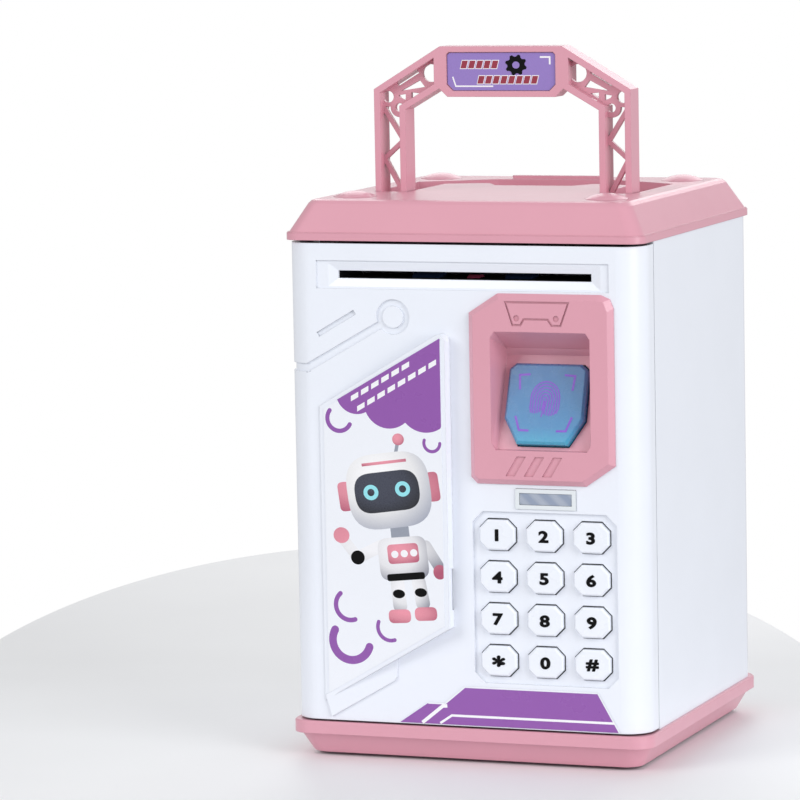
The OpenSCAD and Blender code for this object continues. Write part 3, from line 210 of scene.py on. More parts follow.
def plastic(name, colour, rough, coat, grain, edge=0.00035, scale=2600, mottle=0.012, painted_shade_tone=0.12):
    """Moulded plastic: soft mottle, fine mould texture, uneven gloss, rubbed edges and painted shade in
    crevices.
    """
    m = Mat(name)
    flow = m.noise(34, 4, 0.55)
    tone = m.ramp(flow, 0, [(0.25, shade(colour, 1 - mottle)), (0.75, shade(colour, 1 + mottle))])
    gloss = m.noise(160, 4, 0.6)
    rounded = m.edge(edge)
    worn = m.wear(rounded, gloss)
    rubbed = m.blend(worn, 0, tone, 0, shade(colour, RUBBED_TONE))
    # painted shade: ambient occlusion darkens the colour in crevices and tight gaps, where shadow falls
    painted_shade_ao = m.node("AmbientOcclusion")
    painted_shade_ao.samples = 6
    painted_shade_ao.inputs["Distance"].default_value = PAINTED_SHADE_REACH
    painted_crevice_shade = m.map_range(painted_shade_ao, "AO", 1.0, 0.0, 0.1, 0.42)
    m.link(m.blend(painted_crevice_shade, 0, rubbed, 2, shade(colour, painted_shade_tone)), 2, m.shader, "Base Color")
    even = m.map_range(gloss, 0, rough - 0.02, rough + 0.03)
    roughness = m.math("MULTIPLY_ADD", worn, 0, RUBBED_ROUGHNESS)
    m.link(even, 0, roughness, 2)
    m.link(roughness, 0, m.shader, "Roughness")
    m.value("Coat Weight", coat)
    m.value("Coat Roughness", 0.12)
    m.value("IOR", PLASTIC_IOR)
    m.bump(m.noise(scale, 2, 0.5), 0, grain, 0.0002, rounded)
    return m.material


def metal(name, colour, rough, stretch=(1, 1, 1)):
    """Bare metal with fine marks, drawn out along an axis by stretch."""
    m = Mat(name)
    m.value("Metallic", 1.0)
    marks = m.noise(900, 3, 0.6, stretch)
    tone = m.ramp(marks, 0, [(0.3, shade(colour, 0.86)), (0.7, shade(colour, 1.06))])
    m.link(tone, 0, m.shader, "Base Color")
    m.link(m.map_range(marks, 0, rough - 0.08, rough + 0.14), 0, m.shader, "Roughness")
    m.bump(marks, 0, 0.06, 0.0001, m.edge(0.00012))
    return m.material


def rubbery(name, colour):
    """Dull rubber with a fine grain."""
    m = Mat(name)
    grain = m.noise(1500, 4, 0.65)
    tone = m.ramp(grain, 0, [(0.3, shade(colour, 0.8)), (0.7, shade(colour, 1.25))])
    m.link(tone, 0, m.shader, "Base Color")
    m.link(m.map_range(grain, 0, 0.64, 0.82), 0, m.shader, "Roughness")
    m.bump(grain, 0, 0.12, 0.0002, m.edge(0.0002))
    return m.material


def film(name, colour, rough=0.28, coat=0.35, mottle=0.025, specular=0.5):
    """Printed film: fine speckle under a thin clear coat."""
    m = Mat(name)
    dots = m.noise(PRINT_DOTS, 1, 0.4)
    tone = m.ramp(dots, 0, [(0.3, shade(colour, 1 - mottle * 1.6)), (0.7, shade(colour, 1 + mottle))])
    m.link(tone, 0, m.shader, "Base Color")
    wave = m.noise(120, 3, 0.5)
    m.link(m.map_range(wave, 0, rough - 0.015, rough + 0.025), 0, m.shader, "Roughness")
    m.value("Specular IOR Level", specular)
    m.value("Coat Weight", coat)
    m.value("Coat Roughness", 0.1)
    m.bump(dots, 0, 0.02, 0.00004)
    return m.material


def ball_film(name, colour, dark):
    """Film whose print is shaded like a ball lit from its upper left."""
    lit_from = (0.38, 0.5, 0.66)
    reach = 0.78
    m = Mat(name)
    centred = m.node("Mapping")
    centred.inputs["Location"].default_value = tuple(-c / reach for c in lit_from)
    centred.inputs["Scale"].default_value = (1 / reach,) * 3
    m.link(m.coord, "Generated", centred, 0)
    flat = m.node("VectorMath")
    flat.operation = "MULTIPLY"
    flat.inputs[1].default_value = (1, 0, 1)
    m.link(centred, 0, flat, 0)
    falloff = m.node("TexGradient")
    falloff.gradient_type = "SPHERICAL"
    m.link(flat, 0, falloff, 0)
    tone = m.ramp(falloff, 0, [(0.0, dark), (0.45, shade(colour, 0.86)), (0.8, colour)])
    m.link(tone, 0, m.shader, "Base Color")
    dots = m.noise(PRINT_DOTS, 1, 0.4)
    m.link(m.map_range(dots, 0, 0.25, 0.33), 0, m.shader, "Roughness")
    m.value("Coat Weight", 0.35)
    m.bump(dots, 0, 0.02, 0.0001)
    return m.material


def pad_blue():
    """The finger pad: greener at its foot, deeper blue at its head."""
    m = Mat("pad_blue")
    height = m.node("SeparateXYZ")
    m.link(m.coord, "Generated", height, 0)
    tone = m.ramp(height, 2, [(0.0, lin(66, 176, 206)), (0.3, lin(72, 136, 186)), (1.0, lin(78, 122, 172))])
    m.link(tone, 0, m.shader, "Base Color")
    haze = m.noise(300, 3, 0.5)
    m.link(m.map_range(haze, 0, 0.22, 0.36), 0, m.shader, "Roughness")
    m.value("Coat Weight", 0.5)
    m.value("Subsurface Weight", 0.15)
    m.value("Subsurface Scale", 0.003)
    m.bump(haze, 0, 0.03, 0.0002, m.edge(0.0006))
    return m.material


def lens_print():
    """The display window's face: faint slanted bands under a clear coat."""
    m = Mat("window_lens")
    waves = m.node("TexWave")
    waves.bands_direction = "DIAGONAL"
    waves.inputs["Scale"].default_value = 95
    waves.inputs["Distortion"].default_value = 1.2
    m.link(m.coord, "Object", waves, 0)
    tone = m.ramp(waves, 1, [(0.2, lin(146, 158, 180)), (0.8, lin(166, 175, 191))])
    m.link(tone, 0, m.shader, "Base Color")
    m.link(m.map_range(waves, 1, 0.12, 0.3, 0, 1), 0, m.shader, "Roughness")
    m.value("Coat Weight", 0.8)
    m.bump(waves, 1, 0.05, 0.0002)
    return m.material


def floor_paint():
    m = Mat("floor")
    cloudy = m.noise(6, 3, 0.5)
    tone = m.ramp(cloudy, 0, [(0.3, lin(234, 235, 237)), (0.7, lin(240, 241, 243))])
    m.link(tone, 0, m.shader, "Base Color")
    m.value("Roughness", 0.5)
    m.bump(cloudy, 0, 0.02, 0.001)
    return m.material


SLOT_LOOKS = {
    "white_plastic": plastic("white_plastic", lin(236, 240, 249), 0.30, 0.2, 0.015),
    "key_plastic": plastic("key_plastic", lin(238, 242, 250), 0.26, 0.3, 0.01, 0.0003),
    # the pink takes a lighter painted crevice shade than the other plastics
    "pink_plastic": plastic("pink_plastic", lin(219, 157, 173), 0.34, 0.3, 0.03, mottle=0.015, painted_shade_tone=0.5),
    "blue_plastic": plastic("blue_plastic", lin(120, 176, 214), 0.3, 0.4, 0.01),
    "black_plastic": plastic("black_plastic", lin(26, 26, 29), 0.5, 0.0, 0.2, scale=1200, mottle=0.1),
    "gear_nylon": plastic("gear_nylon", lin(236, 232, 220), 0.45, 0.0, 0.03, 0.0001),
    "led_diffuser": plastic("led_diffuser", lin(226, 238, 246), 0.5, 0.0, 0.05),
    "cell_jacket": plastic("cell_jacket", lin(40, 42, 48), 0.25, 0.5, 0.01),
    "circuit_board": plastic("circuit_board", lin(24, 92, 60), 0.38, 0.3, 0.1, scale=700, mottle=0.12),
    # the key rubber's dark tone is partly its own colour and partly painted shade, darkening the gaps around
    # the keys
    "key_rubber": rubbery("key_rubber", lin(34, 34, 37)),
    "foot_rubber": rubbery("foot_rubber", lin(36, 36, 38)),
    "roller_rubber": rubbery("roller_rubber", lin(30, 52, 92)),
    "shaft_steel": metal("shaft_steel", (0.60, 0.61, 0.63), 0.22),
    "screw_steel": metal("screw_steel", (0.52, 0.53, 0.56), 0.34),
    "motor_steel": metal("motor_steel", (0.58, 0.59, 0.61), 0.3, (1, 1, 8)),
    "contact_steel": metal("contact_steel", (0.66, 0.65, 0.62), 0.25),
    "pinion_brass": metal("pinion_brass", (0.78, 0.58, 0.26), 0.26),
    "violet_print": film("violet_print", lin(144, 84, 170)),
    "clear_window": plastic("clear_window", lin(228, 234, 238), 0.14, 0.8, 0.01, 0.0002),
}
VIOLET = SLOT_LOOKS["violet_print"]
WHITE = film("print_white", lin(246, 246, 250))
PAPER = film("print_paper", lin(240, 243, 250), 0.3, 0.3, 0.012)
RED = film("print_red", lin(150, 44, 66))
BLACK = film("print_black", lin(9, 9, 11), 0.5, 0.0, 0.025, 0.12)
GREY = film("print_grey", lin(150, 156, 170))
LILAC = film("print_lilac", lin(148, 124, 196))
PINK_BALL = ball_film("print_pink", lin(236, 150, 168), lin(176, 84, 112))
HEAD_BALL = ball_film("print_head", lin(250, 250, 252), lin(150, 156, 176))
LIMB_BALL = ball_film("print_limb", lin(244, 244, 248), lin(128, 130, 146))
VISOR_BALL = ball_film("print_visor", lin(62, 66, 82), lin(10, 11, 16))
CYAN = film("print_cyan", lin(150, 228, 238))
PAD_INK = film("print_pad", lin(122, 66, 196))


def paint(node, material):
    NODES[node].data.materials.clear()
    NODES[node].data.materials.append(material)


for part in frame["record"]["subparts"]:
    paint(part["node"], SLOT_LOOKS[part["material_slot"]])
# the hub's painted crevice shade is kept faint
paint("feed_hub", plastic("hub_pink", lin(244, 96, 140), 0.4, 0.0, 0.03, painted_shade_tone=0.9))
paint("door_picture", PAPER)
paint("handle_label", LILAC)
paint("reader_pad", pad_blue())


# ---------- outlines ----------

def ellipse(cx, cy, rx, ry, count):
    outline = []
    for i in range(count):
        angle = math.radians(360.0 * i / count)
        outline.append((cx + rx * math.cos(angle), cy + ry * math.sin(angle)))
    return outline


def smooth_outline(points, radius, steps=5):
    """Rounds the corners of a closed outline."""
    out = []
    count = len(points)
    for i in range(count):
        before, corner, after = (Vector(points[(i + k) % count]) for k in (-1, 0, 1))
        into, away = before - corner, after - corner
        cut = min(radius, into.length * 0.45, away.length * 0.45)
        start, end = corner + into.normalized() * cut, corner + away.normalized() * cut
        for k in range(steps + 1):
            t = k / steps
            out.append(tuple((1 - t) ** 2 * start + 2 * t * (1 - t) * corner + t * t * end))
    return out


def rounded_box(cx, cz, width, height, radius, lean=0.0):
    """Outline of a rounded box, leaning by lean degrees."""
    t = math.radians(lean)
    half_w, half_h = width / 2, height / 2
    corners = [(-half_w, -half_h), (half_w, -half_h), (half_w, half_h), (-half_w, half_h)]
    turned = [(cx + x * math.cos(t) - z * math.sin(t), cz + x * math.sin(t) + z * math.cos(t))
              for x, z in corners]
    return smooth_outline(turned, radius, 8)


def tube(start, end, width):
    """Outline of a straight limb with round ends."""
    start, end = Vector(start), Vector(end)
    along = math.degrees(math.atan2(end.y - start.y, end.x - start.x))
    outline = []
    for centre, first in ((end, -90), (start, 90)):
        for i in range(11):
            angle = math.radians(along + first + 18 * i)
            outline.append((centre.x + width / 2 * math.cos(angle), centre.y + width / 2 * math.sin(angle)))
    return outline


def stroke(points, width):
    """Outline of a line along points, with mitred joints."""
    one_side, other_side = [], []
    path = [Vector(p) for p in points]
    for i, point in enumerate(path):
        came = (path[i] - path[i - 1]).normalized() if i else (path[1] - path[0]).normalized()
        goes = (path[i + 1] - path[i]).normalized() if i < len(path) - 1 else came
        middle = (came + goes).normalized()
        normal = Vector((-middle.y, middle.x))
        reach = width / 2 / max(0.4, normal.dot(Vector((-came.y, came.x))))
        one_side.append(tuple(point + normal * reach))
        other_side.append(tuple(point - normal * reach))
    return one_side + other_side[::-1]


def lobe(start, middle, end, count=14):
    """Points on the circle through start, middle and end, with end left out."""
    (ax, az), (bx, bz), (cx, cz) = start, middle, end
    area_term = 2 * (ax * (bz - cz) + bx * (cz - az) + cx * (az - bz))
    qa, qb, qc = ax * ax + az * az, bx * bx + bz * bz, cx * cx + cz * cz
    ox = (qa * (bz - cz) + qb * (cz - az) + qc * (az - bz)) / area_term
    oz = (qa * (cx - bx) + qb * (ax - cx) + qc * (bx - ax)) / area_term
    first, through, last = (math.atan2(z - oz, x - ox) for x, z in (start, middle, end))
    while through < first:
        through += 2 * math.pi
    while last < through:
        last += 2 * math.pi
    radius = math.hypot(ax - ox, az - oz)
    angles = [first + (last - first) * k / count for k in range(count)]
    return [(ox + radius * math.cos(angle), oz + radius * math.sin(angle)) for angle in angles]


def hook(start, middle, end, width):
    """Outline of a curved stroke through three points, with round ends."""
    path = lobe(start, middle, end, 24) + [end]
    one_side, other_side = [], []
    for k, (x, z) in enumerate(path):
        along = (Vector(path[min(k + 1, len(path) - 1)]) - Vector(path[max(k - 1, 0)])).normalized()
        one_side.append((x - along.y * width / 2, z + along.x * width / 2))
        other_side.append((x + along.y * width / 2, z - along.x * width / 2))
    caps = []
    for tip, inner in ((path[-1], path[-2]), (path[0], path[1])):
        outward = math.atan2(tip[1] - inner[1], tip[0] - inner[0])
        angles = [outward + math.pi / 2 - math.pi * k / 8 for k in range(1, 8)]
        caps.append([(tip[0] + width / 2 * math.cos(angle), tip[1] + width / 2 * math.sin(angle))
                     for angle in angles])
    return one_side + caps[0] + other_side[::-1] + caps[1]


# ---------- thin printed pieces ----------

def mesh_object(name, bm, material):
    mesh = bpy.data.meshes.new(name)
    bmesh.ops.recalc_face_normals(bm, faces=bm.faces)
    bm.to_mesh(mesh)
    bm.free()
    mesh.materials.append(material)
    return put_in_scene(bpy.data.objects.new(name, mesh))


def sheet(name, outlines, place, low, high, material, body):
    """Closed thin plates: each outline runs from depth low to depth high, placed by place(u, v, depth)."""
    bm = bmesh.new()
    for outline in outlines:
        lower = [bm.verts.new(place(u, v, low)) for u, v in outline]
        upper = [bm.verts.new(place(u, v, high)) for u, v in outline]
        for triangle in tessellate_polygon([[Vector((u, v, 0)) for u, v in outline]]):
            bm.faces.new([lower[i] for i in triangle])
            bm.faces.new([upper[i] for i in reversed(triangle)])
        for i in range(len(outline)):
            j = (i + 1) % len(outline)
            bm.faces.new((lower[i], lower[j], upper[j], upper[i]))
    made = mesh_object(name, bm, material)
    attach(made, body)


# ---------- the picture on the slanted panel ----------

FILM = 0.2            # thickness of the printed films
DRAWING_BASE = 1.0    # drawing heights are counted from this height
DOOR_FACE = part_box("lower_sticker")[0].y / MM + FILM
PANEL_LEFT = -51.2
PANEL_WIDTH = 47.0
PANEL_LOW = 0.4       # the panel stands proud of the door by this at its left edge
PANEL_HIGH = 5.0      # and by this at its right edge
FILM_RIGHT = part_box("door_picture")[1].x / MM - 0.1
INK_SHARE = 0.3       # the picture's prints are this share of their stated depth
DRAWN_LEFT = -51      # the drawing is laid out on the door's flat face, from here
DRAWN_WIDTH = 46.4    # over this width
DRAWN_RISE = 4.7      # in which the panel rises this much
SHIFT_RIGHT = 0.35    # for each millimetre of rise a point of the drawing goes right by this
SHIFT_UP = 0.12       # and up by this


def on_art(x, z, depth):
    """Carries a point of the drawing to the slanted panel's film, kept inside the film's right edge."""
    rise = DRAWN_RISE * (x - DRAWN_LEFT) / DRAWN_WIDTH
    X = min(x + SHIFT_RIGHT * rise, FILM_RIGHT)
    Z = z + SHIFT_UP * rise + DRAWING_BASE
    proud = PANEL_LOW + (PANEL_HIGH - PANEL_LOW) * (X - PANEL_LEFT) / PANEL_WIDTH
    return Vector((X, DOOR_FACE - proud - FILM - INK_SHARE * depth, Z)) * MM


def art(name, outlines, low, high, material):
    sheet(name, outlines, on_art, low, high, material, "door")


def draw_cloud():
    """Violet cloud in the upper corner, with two rows of dashes."""
    scallops = [((-44.6, 121.9), (-39.6, 117.4), (-34.3, 117.9)),
                ((-34.3, 117.9), (-27.2, 112.6), (-20.2, 114.7)),
                ((-20.2, 114.7), (-12.9, 111.5), (-6.9, 113.6))]
    cloud = [point for scallop in scallops for point in lobe(*scallop)]
    art("art_cloud", [cloud + [(-6.9, 113.6), (-6.9, 142.9), (-7.6, 143.2)]], 0.0, 0.05, VIOLET)
    dashes = []
    for row_x, row_z, count in ((-39.6, 121.4, 6), (-37.4, 118.0, 8)):
        for i in range(count):
            x = row_x + i * 3.7
            z = row_z + i * 2.13
            dashes.append([(x, z), (x + 2.7, z + 1.55), (x + 2.7, z + 3.35), (x, z + 1.8)])
    art("art_stripes", dashes, 0.05, 0.09, WHITE)


def draw_marks():
    marks = [hook((-47.4, 118.2), (-45.6, 111.6), (-40.2, 113.6), 1.5),
             hook((-13.5, 109.0), (-10.9, 105.2), (-8.0, 108.0), 1.1),
             hook((-44.8, 55.9), (-45.8, 49.4), (-39.6, 47.2), 1.6),
             hook((-31.1, 46.8), (-30.4, 42.2), (-25.4, 40.8), 1.3),
             hook((-47.0, 43.4), (-41.4, 33.2), (-34.6, 38.0), 2.8)]
    art("art_marks", marks, 0.0, 0.05, VIOLET)


def draw_robot_head(x, z):
    """Boxy head with an antenna; x, z is the head's middle."""
    lean = 8
    eyes = [(x - 6.4, z - 0.9), (x + 5.0, z + 0.7)]
    art("robot_antenna", [tube((x + 2.6, z + 12.0), (x + 3.4, z + 16.0), 1.2)], 0.0, 0.04, GREY)
    art("robot_antenna_ball", [ellipse(x + 3.7, z + 17.4, 2.1, 2.0, 32)], 0.04, 0.07, PINK_BALL)
    ears = [(x - 15.8, z - 2.6), (x + 15.8, z + 1.8)]
    art("robot_ears", [rounded_box(*ear, 4.6, 10.0, 1.8, lean) for ear in ears], 0.0, 0.04, PINK_BALL)
    art("robot_head", [rounded_box(x, z, 30.0, 25.5, 10.5, lean)], 0.02, 0.06, HEAD_BALL)
    art("robot_visor", [rounded_box(x - 0.6, z - 0.4, 23.4, 13.6, 6.4, lean)], 0.06, 0.08, VISOR_BALL)
    art("robot_eyes", [ellipse(*eye, 2.7, 2.6, 32) for eye in eyes], 0.08, 0.1, CYAN)
    art("robot_eye_cores", [ellipse(*eye, 1.3, 1.25, 24) for eye in eyes], 0.1, 0.11, VISOR_BALL)
    art("robot_brow", [stroke([(x - 9.6, z + 8.3), (x + 6.4, z + 10.5)], 1.0)], 0.06, 0.08, PINK_BALL)


def draw_robot_body():
    """Square chest, tube arms and legs."""
    elbow = (-38.2, 68.4)
    arms = [tube((-29.8, 72.6), elbow, 4.2), tube(elbow, (-43.4, 74.6), 3.8),
            tube((-13.6, 73.2), (-9.0, 66.4), 4.0)]
    hands = [ellipse(-44.0, 75.8, 2.9, 2.7, 28), ellipse(-8.8, 64.6, 2.3, 2.5, 28)]
    dials = [ellipse(x, z, 1.3, 1.25, 20) for x, z in ((-24.8, 70.0), (-21.4, 70.4), (-18.0, 70.8))]
    legs = [tube((-24.0, 60.0), (-23.2, 52.6), 5.0), tube((-16.4, 60.8), (-15.0, 53.8), 5.0)]
    knees = [ellipse(x, z, 2.2, 1.5, 24) for x, z in ((-23.6, 56.6), (-15.7, 57.4))]
    feet = [rounded_box(x, z, 8.0, 4.6, 2.0, 4) for x, z in ((-23.4, 49.0), (-14.0, 50.2))]
    art("robot_neck", [rounded_box(-22.8, 77.4, 6.6, 4.6, 0.8, 6)], 0.0, 0.03, GREY)
    art("robot_arms", arms, 0.0, 0.03, LIMB_BALL)
    art("robot_hands", hands, 0.03, 0.06, PINK_BALL)
    art("robot_elbows", [ellipse(*elbow, 2.5, 2.4, 28)], 0.03, 0.06, BLACK)
    art("robot_chest", [rounded_box(-21.8, 68.8, 17.6, 14.4, 3.6, 6)], 0.03, 0.07, LIMB_BALL)
    art("robot_panel", [rounded_box(-21.8, 70.4, 11.2, 6.6, 1.6, 6)], 0.07, 0.09, PINK_BALL)
    art("robot_dials", dials, 0.09, 0.1, WHITE)
    art("robot_belt", [rounded_box(-20.9, 62.6, 13.6, 2.4, 0.9, 6)], 0.07, 0.09, BLACK)
    art("robot_legs", legs, 0.0, 0.03, LIMB_BALL)
    art("robot_knees", knees, 0.03, 0.05, BLACK)
    art("robot_feet", feet, 0.03, 0.06, PINK_BALL)


draw_cloud()
draw_marks()
draw_robot_head(-26.6, 91.6)
draw_robot_body()


# ---------- lower film ----------

def on_lower_film(x, z, depth):
    return Vector((x, DOOR_FACE - FILM - depth, z + DRAWING_BASE)) * MM


def draw_lower_film():
    low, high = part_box("lower_sticker")
    foot, head = low.z / MM - DRAWING_BASE, high.z / MM - DRAWING_BASE
    left, right = low.x / MM, high.x / MM
    lines = [stroke([(left + 8.0, foot + 0.2), (left + 15.4, foot + 6.2), (left + 17.0, foot + 6.3)], 1.2),
             stroke([(left + 14.4, foot + 0.3), (left + 18.6, foot + 3.1), (right - 1.6, foot + 3.1)], 0.8)]
    sheet("lower_lines", lines, on_lower_film, 0.0, 0.04, WHITE, "door")
    rim = [(left + 10.2, foot + 7), (left + 16.2, foot + 7), (left + 23.4, head), (right - 7.4, head),
           (right, foot)]
    sides = [smooth_outline(stroke([rim[i], rim[i + 1]], 0.5), 0.05, 1) for i in range(4)]
    sheet("lower_border", sides, on_lower_film, -0.02, 0.03, PAPER, "door")


draw_lower_film()


# ---------- handle plate ----------

def on_label(x, z, depth):
    return Vector((x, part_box("handle_label")[0].y / MM - depth, z)) * MM


def label(name, outlines, low, high, material):
    sheet(name, outlines, on_label, low, high, material, "handle_bail")


def gear_outline(cx, cz):
    """Eight square teeth, a little wider than high."""
    tip, root, steps = 3.9, 3.1, 32
    outline = []
    for i in range(steps):
        angle = math.radians(i * 360 / steps)
        radius = tip if (i // 2) % 2 else root
        outline.append((cx + radius * math.cos(angle), cz + radius * 0.92 * math.sin(angle)))
    return outline


def draw_label():
    """Corner marks, two rows of slanted bars with white edges, and a gear wheel."""
    low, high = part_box("handle_label")
    mid = (low.z + high.z) / 2 / MM
    right = high.x / MM
    top, foot = mid + (high.z - low.z) / 2 / MM, mid - (high.z - low.z) / 2 / MM
    upper_mark = [(right - 5.4, top - 1.5), (right - 1.9, top - 1.5), (right - 1.9, top - 4.0)]
    lower_mark = [(1.9 - right, foot + 4.6), (3.0 - right, foot + 1.4), (16.5 - right, foot + 1.4)]
    corners = [stroke(upper_mark, 0.6), stroke(lower_mark, 0.5)]
    label("label_corners", corners, 0.0, 0.05, WHITE)
    pitch = 2.75
    bars, edges = [], []
    for row_x, row_z, count in ((-14.6, mid + 1.1, 5), (-8.6, mid - 4.1, 8)):
        for i in range(count):
            x = row_x + i * pitch
            bar_top, edge_foot, edge_top = row_z + 2.6, row_z - 0.25, row_z + 2.85
            bars.append([(x, row_z), (x + 2.0, row_z), (x + 2.7, bar_top), (x + 0.7, bar_top)])
            edges.append([(x - 0.25, edge_foot), (x + 2.2, edge_foot), (x + 3.0, edge_top),
                          (x + 0.5, edge_top)])
    label("label_bar_edges", edges, 0.0, 0.05, WHITE)
    label("label_bars", bars, 0.05, 0.09, RED)
    gear_x, gear_z = 5.4, mid + 2.2
    label("label_badge", [gear_outline(gear_x, gear_z)], 0.05, 0.1, BLACK)
    label("label_badge_holes", [ellipse(gear_x, gear_z, 1.3, 1.2, 24)], 0.1, 0.13, LILAC)


draw_label()


# ---------- finger pad ----------

PAD_TILT = math.radians(20)
PAD_CENTRE = Vector((28.2, -58.65, 122.9))
PAD_UP = Vector((0, math.sin(PAD_TILT), math.cos(PAD_TILT)))
PAD_OUT = Vector((0, -math.cos(PAD_TILT), math.sin(PAD_TILT)))


def on_pad(u, v, depth):
    return (PAD_CENTRE + Vector((1, 0, 0)) * u + PAD_UP * v + PAD_OUT * depth) * MM


def draw_pad_brackets():
    corners = [[(9.2, 4.6), (9.7, 9.6), (6.0, 9.9)], [(9.9, -4.4), (8.2, -9.2), (4.8, -9.3)]]
    outlines = [stroke([(side * u, v) for u, v in corner], 0.75) for corner in corners for side in (-1, 1)]
    sheet("pad_brackets", outlines, on_pad, 0.0, 0.05, PAD_INK, "finger_pad")


def draw_pad_ridges():
    """Six nested arches and a short middle line."""
    ridges = []
    for i, r in enumerate((0.55, 1.45, 2.35, 3.25, 4.15, 5.0)):
        left_foot = -2.4 - 0.62 * i + 0.096 * i * i
        right_foot = -3.6 - 0.5 * i + 0.11 * i * i
        bend = 0.5 - 0.06 * i
        path = [(-r * 0.9 - bend, left_foot), (-r - bend * 0.4, left_foot * 0.45), (-r, 0.6)]
        for k in range(13):
            angle = math.radians(180 - 15 * k)
            path.append((r * math.cos(angle), 1.6 + r * 1.18 * math.sin(angle)))
        path += [(r - bend * 0.3, 0.2), (r - bend * 0.9, right_foot * 0.5), (r * 0.86 - bend, right_foot)]
        ridges.append(stroke(path, 0.5))
    ridges.append(stroke([(-0.1, 0.9), (-0.3, -1.4), (-0.9, -4.6)], 0.45))
    sheet("pad_ridges", ridges, on_pad, 0.0, 0.05, PAD_INK, "finger_pad")


draw_pad_brackets()
draw_pad_ridges()


# ---------- display window ----------

def on_door_face(x, z, depth):
    return Vector((x, DOOR_FACE - depth, z)) * MM


def add_window_lens():
    low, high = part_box("led_window")
    inset = 1.5
    left, right = low.x / MM + inset, high.x / MM - inset
    foot, head = low.z / MM + inset, high.z / MM - inset
    outline = smooth_outline([(left, foot), (right, foot), (right, head), (left, head)], 0.5, 3)
    sheet("window_lens", [outline], on_door_face, 0.0, 0.25, lens_print(), "door")


add_window_lens()


# ---------- key figures ----------

GLYPH_SIZE = 0.0052
STAR_SIZE = 0.0078      # the star is small for its font size
GLYPH_WIDEN = 1.3
GLYPH_SHIFTS = ((0, 0), (0.13, 0), (-0.13, 0), (0.06, 0.1), (-0.06, -0.1))   # in mm, one for each copy
GLYPH_LIFT = 0.00004    # the first copy's middle stands this far off the key's face, in metres
GLYPH_STEP = 0.000004   # and each next copy this much further


def glyph(node, text):
    """Points and faces of one flat letter, centred on its own box."""
    curve = bpy.data.curves.new("figure_" + node, "FONT")
    curve.body = text
    curve.size = STAR_SIZE if text == "*" else GLYPH_SIZE
    curve.extrude = 0.00006
    curve.offset = 0.00014
    curve.align_x = "CENTER"
    curve.align_y = "CENTER"
    curve.resolution_u = 6
    letter = put_in_scene(bpy.data.objects.new("figure_letter", curve))
    bpy.context.view_layer.update()
    graph = bpy.context.evaluated_depsgraph_get()
    mesh = bpy.data.meshes.new_from_object(letter.evaluated_get(graph))
    bpy.data.objects.remove(letter)
    xs = [v.co.x for v in mesh.vertices]
    ys = [v.co.y for v in mesh.vertices]
    middle = Vector(((min(xs) + max(xs)) / 2, (min(ys) + max(ys)) / 2, 0))
    points = [v.co - middle for v in mesh.vertices]
    faces = [list(face.vertices) for face in mesh.polygons]
    bpy.data.meshes.remove(mesh)
    return points, faces


def figure(body, node, text):
    """Raised figure on a key's face, as five copies of the glyph a hair apart."""
    low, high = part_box(node)
    points, faces = glyph(node, text)
    verts, polys = [], []
    for i, (dx, dz) in enumerate(GLYPH_SHIFTS):
        polys += [[k + len(verts) for k in face] for face in faces]
        y = low.y - GLYPH_LIFT - i * GLYPH_STEP
        verts += [((low.x + high.x) / 2 + p.x * GLYPH_WIDEN + dx * MM, y - p.z,
                   (low.z + high.z) / 2 + p.y + dz * MM) for p in points]
    copies = bpy.data.meshes.new("figure_copies")
    copies.from_pydata(verts, [], polys)
    bm = bmesh.new()
    bm.from_mesh(copies)
    bpy.data.meshes.remove(copies)
    bmesh.ops.remove_doubles(bm, verts=bm.verts, dist=1e-7)
    made = mesh_object("figure_" + node, bm, BLACK)
    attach(made, body)


for digit in "1234567890":
    figure("press_" + digit, "key_" + digit, digit)
figure("press_star", "key_star", "*")
figure("press_hash", "key_hash", "#")


# ---------- stage ----------

FLOOR_SIDEWAYS = -0.050   # the floor's middle is left of the part for the camera
FLOOR_HALF_WIDTH = 0.173  # across the camera's view
FLOOR_HALF_DEPTH = 0.450  # along it
FLOOR_THICKNESS = 0.004
FLOOR_STEPS = 192


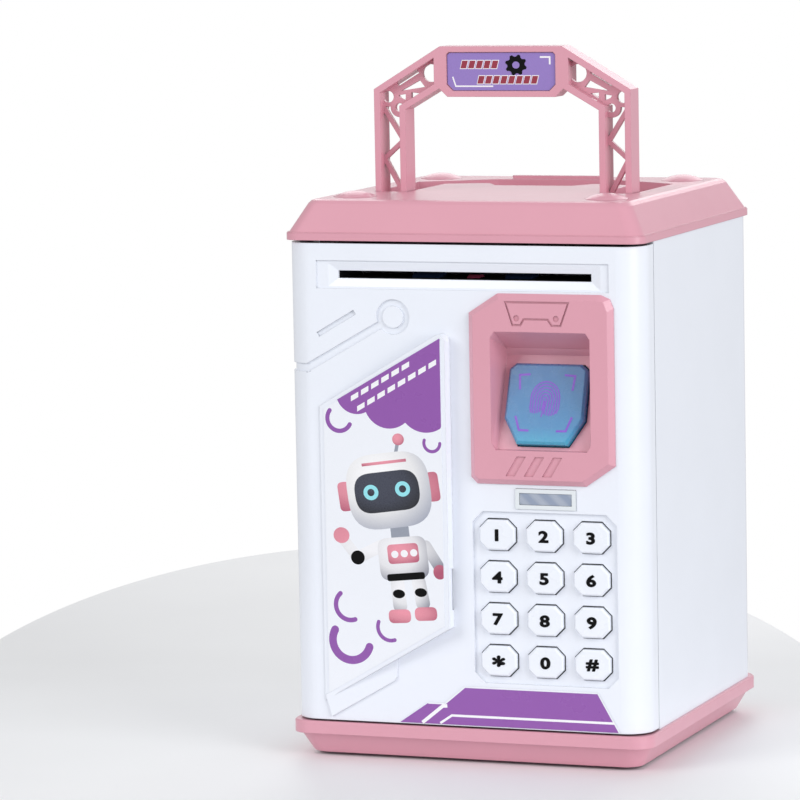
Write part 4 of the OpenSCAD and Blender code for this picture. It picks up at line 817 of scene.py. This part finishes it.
def add_floor():
    """Oval board under the part, turned to the camera."""
    bm = bmesh.new()
    rim = []
    for i in range(FLOOR_STEPS):
        angle = 2 * math.pi * i / FLOOR_STEPS
        u = FLOOR_SIDEWAYS + FLOOR_HALF_WIDTH * math.cos(angle)
        v = FLOOR_HALF_DEPTH * math.sin(angle)
        rim.append((u * math.cos(VIEW_TURN) - v * math.sin(VIEW_TURN),
                    u * math.sin(VIEW_TURN) + v * math.cos(VIEW_TURN)))
    upper = [bm.verts.new((x, y, 0.0)) for x, y in rim]
    bm.faces.new(upper)
    lower = [bm.verts.new((x, y, -FLOOR_THICKNESS)) for x, y in rim]
    bm.faces.new(list(reversed(lower)))
    for i in range(FLOOR_STEPS):
        j = (i + 1) % FLOOR_STEPS
        bm.faces.new((upper[i], lower[i], lower[j], upper[j]))
    mesh_object("floor", bm, floor_paint())


def add_world():
    """White studio: dimmer as a light than as a backdrop."""
    world = bpy.data.worlds.new("studio")
    bpy.context.scene.world = world
    world.use_nodes = True
    tree = world.node_tree
    background = tree.nodes["Background"]
    background.inputs[0].default_value = (1.0, 1.0, 1.0, 1)
    path = tree.nodes.new("ShaderNodeLightPath")
    level = tree.nodes.new("ShaderNodeMapRange")
    level.inputs["To Min"].default_value = 0.53
    level.inputs["To Max"].default_value = 1.0
    tree.links.new(path.outputs["Is Camera Ray"], level.inputs[0])
    tree.links.new(level.outputs[0], background.inputs[1])


def add_light(name, place, target, size, power, colour=(1, 1, 1)):
    lamp = bpy.data.lights.new(name, "AREA")
    lamp.shape = "RECTANGLE"
    lamp.size, lamp.size_y = size
    lamp.energy = power
    lamp.color = colour
    light = put_in_scene(bpy.data.objects.new(name, lamp))
    light.location = place
    light.rotation_euler = (Vector(target) - Vector(place)).to_track_quat("-Z", "Y").to_euler()


add_floor()
add_world()
add_light("key_light", (-1.0, -1.3, 0.9), (0, 0, 0.1), (0.9, 0.9), 11)
add_light("fill_light", (1.4, -0.7, 0.6), (0, 0, 0.12), (1.0, 1.2), 16, (0.97, 0.98, 1.0))
add_light("back_light", (-0.2, 1.3, 0.9), (0, 0, 0.12), (1.2, 1.0), 6)
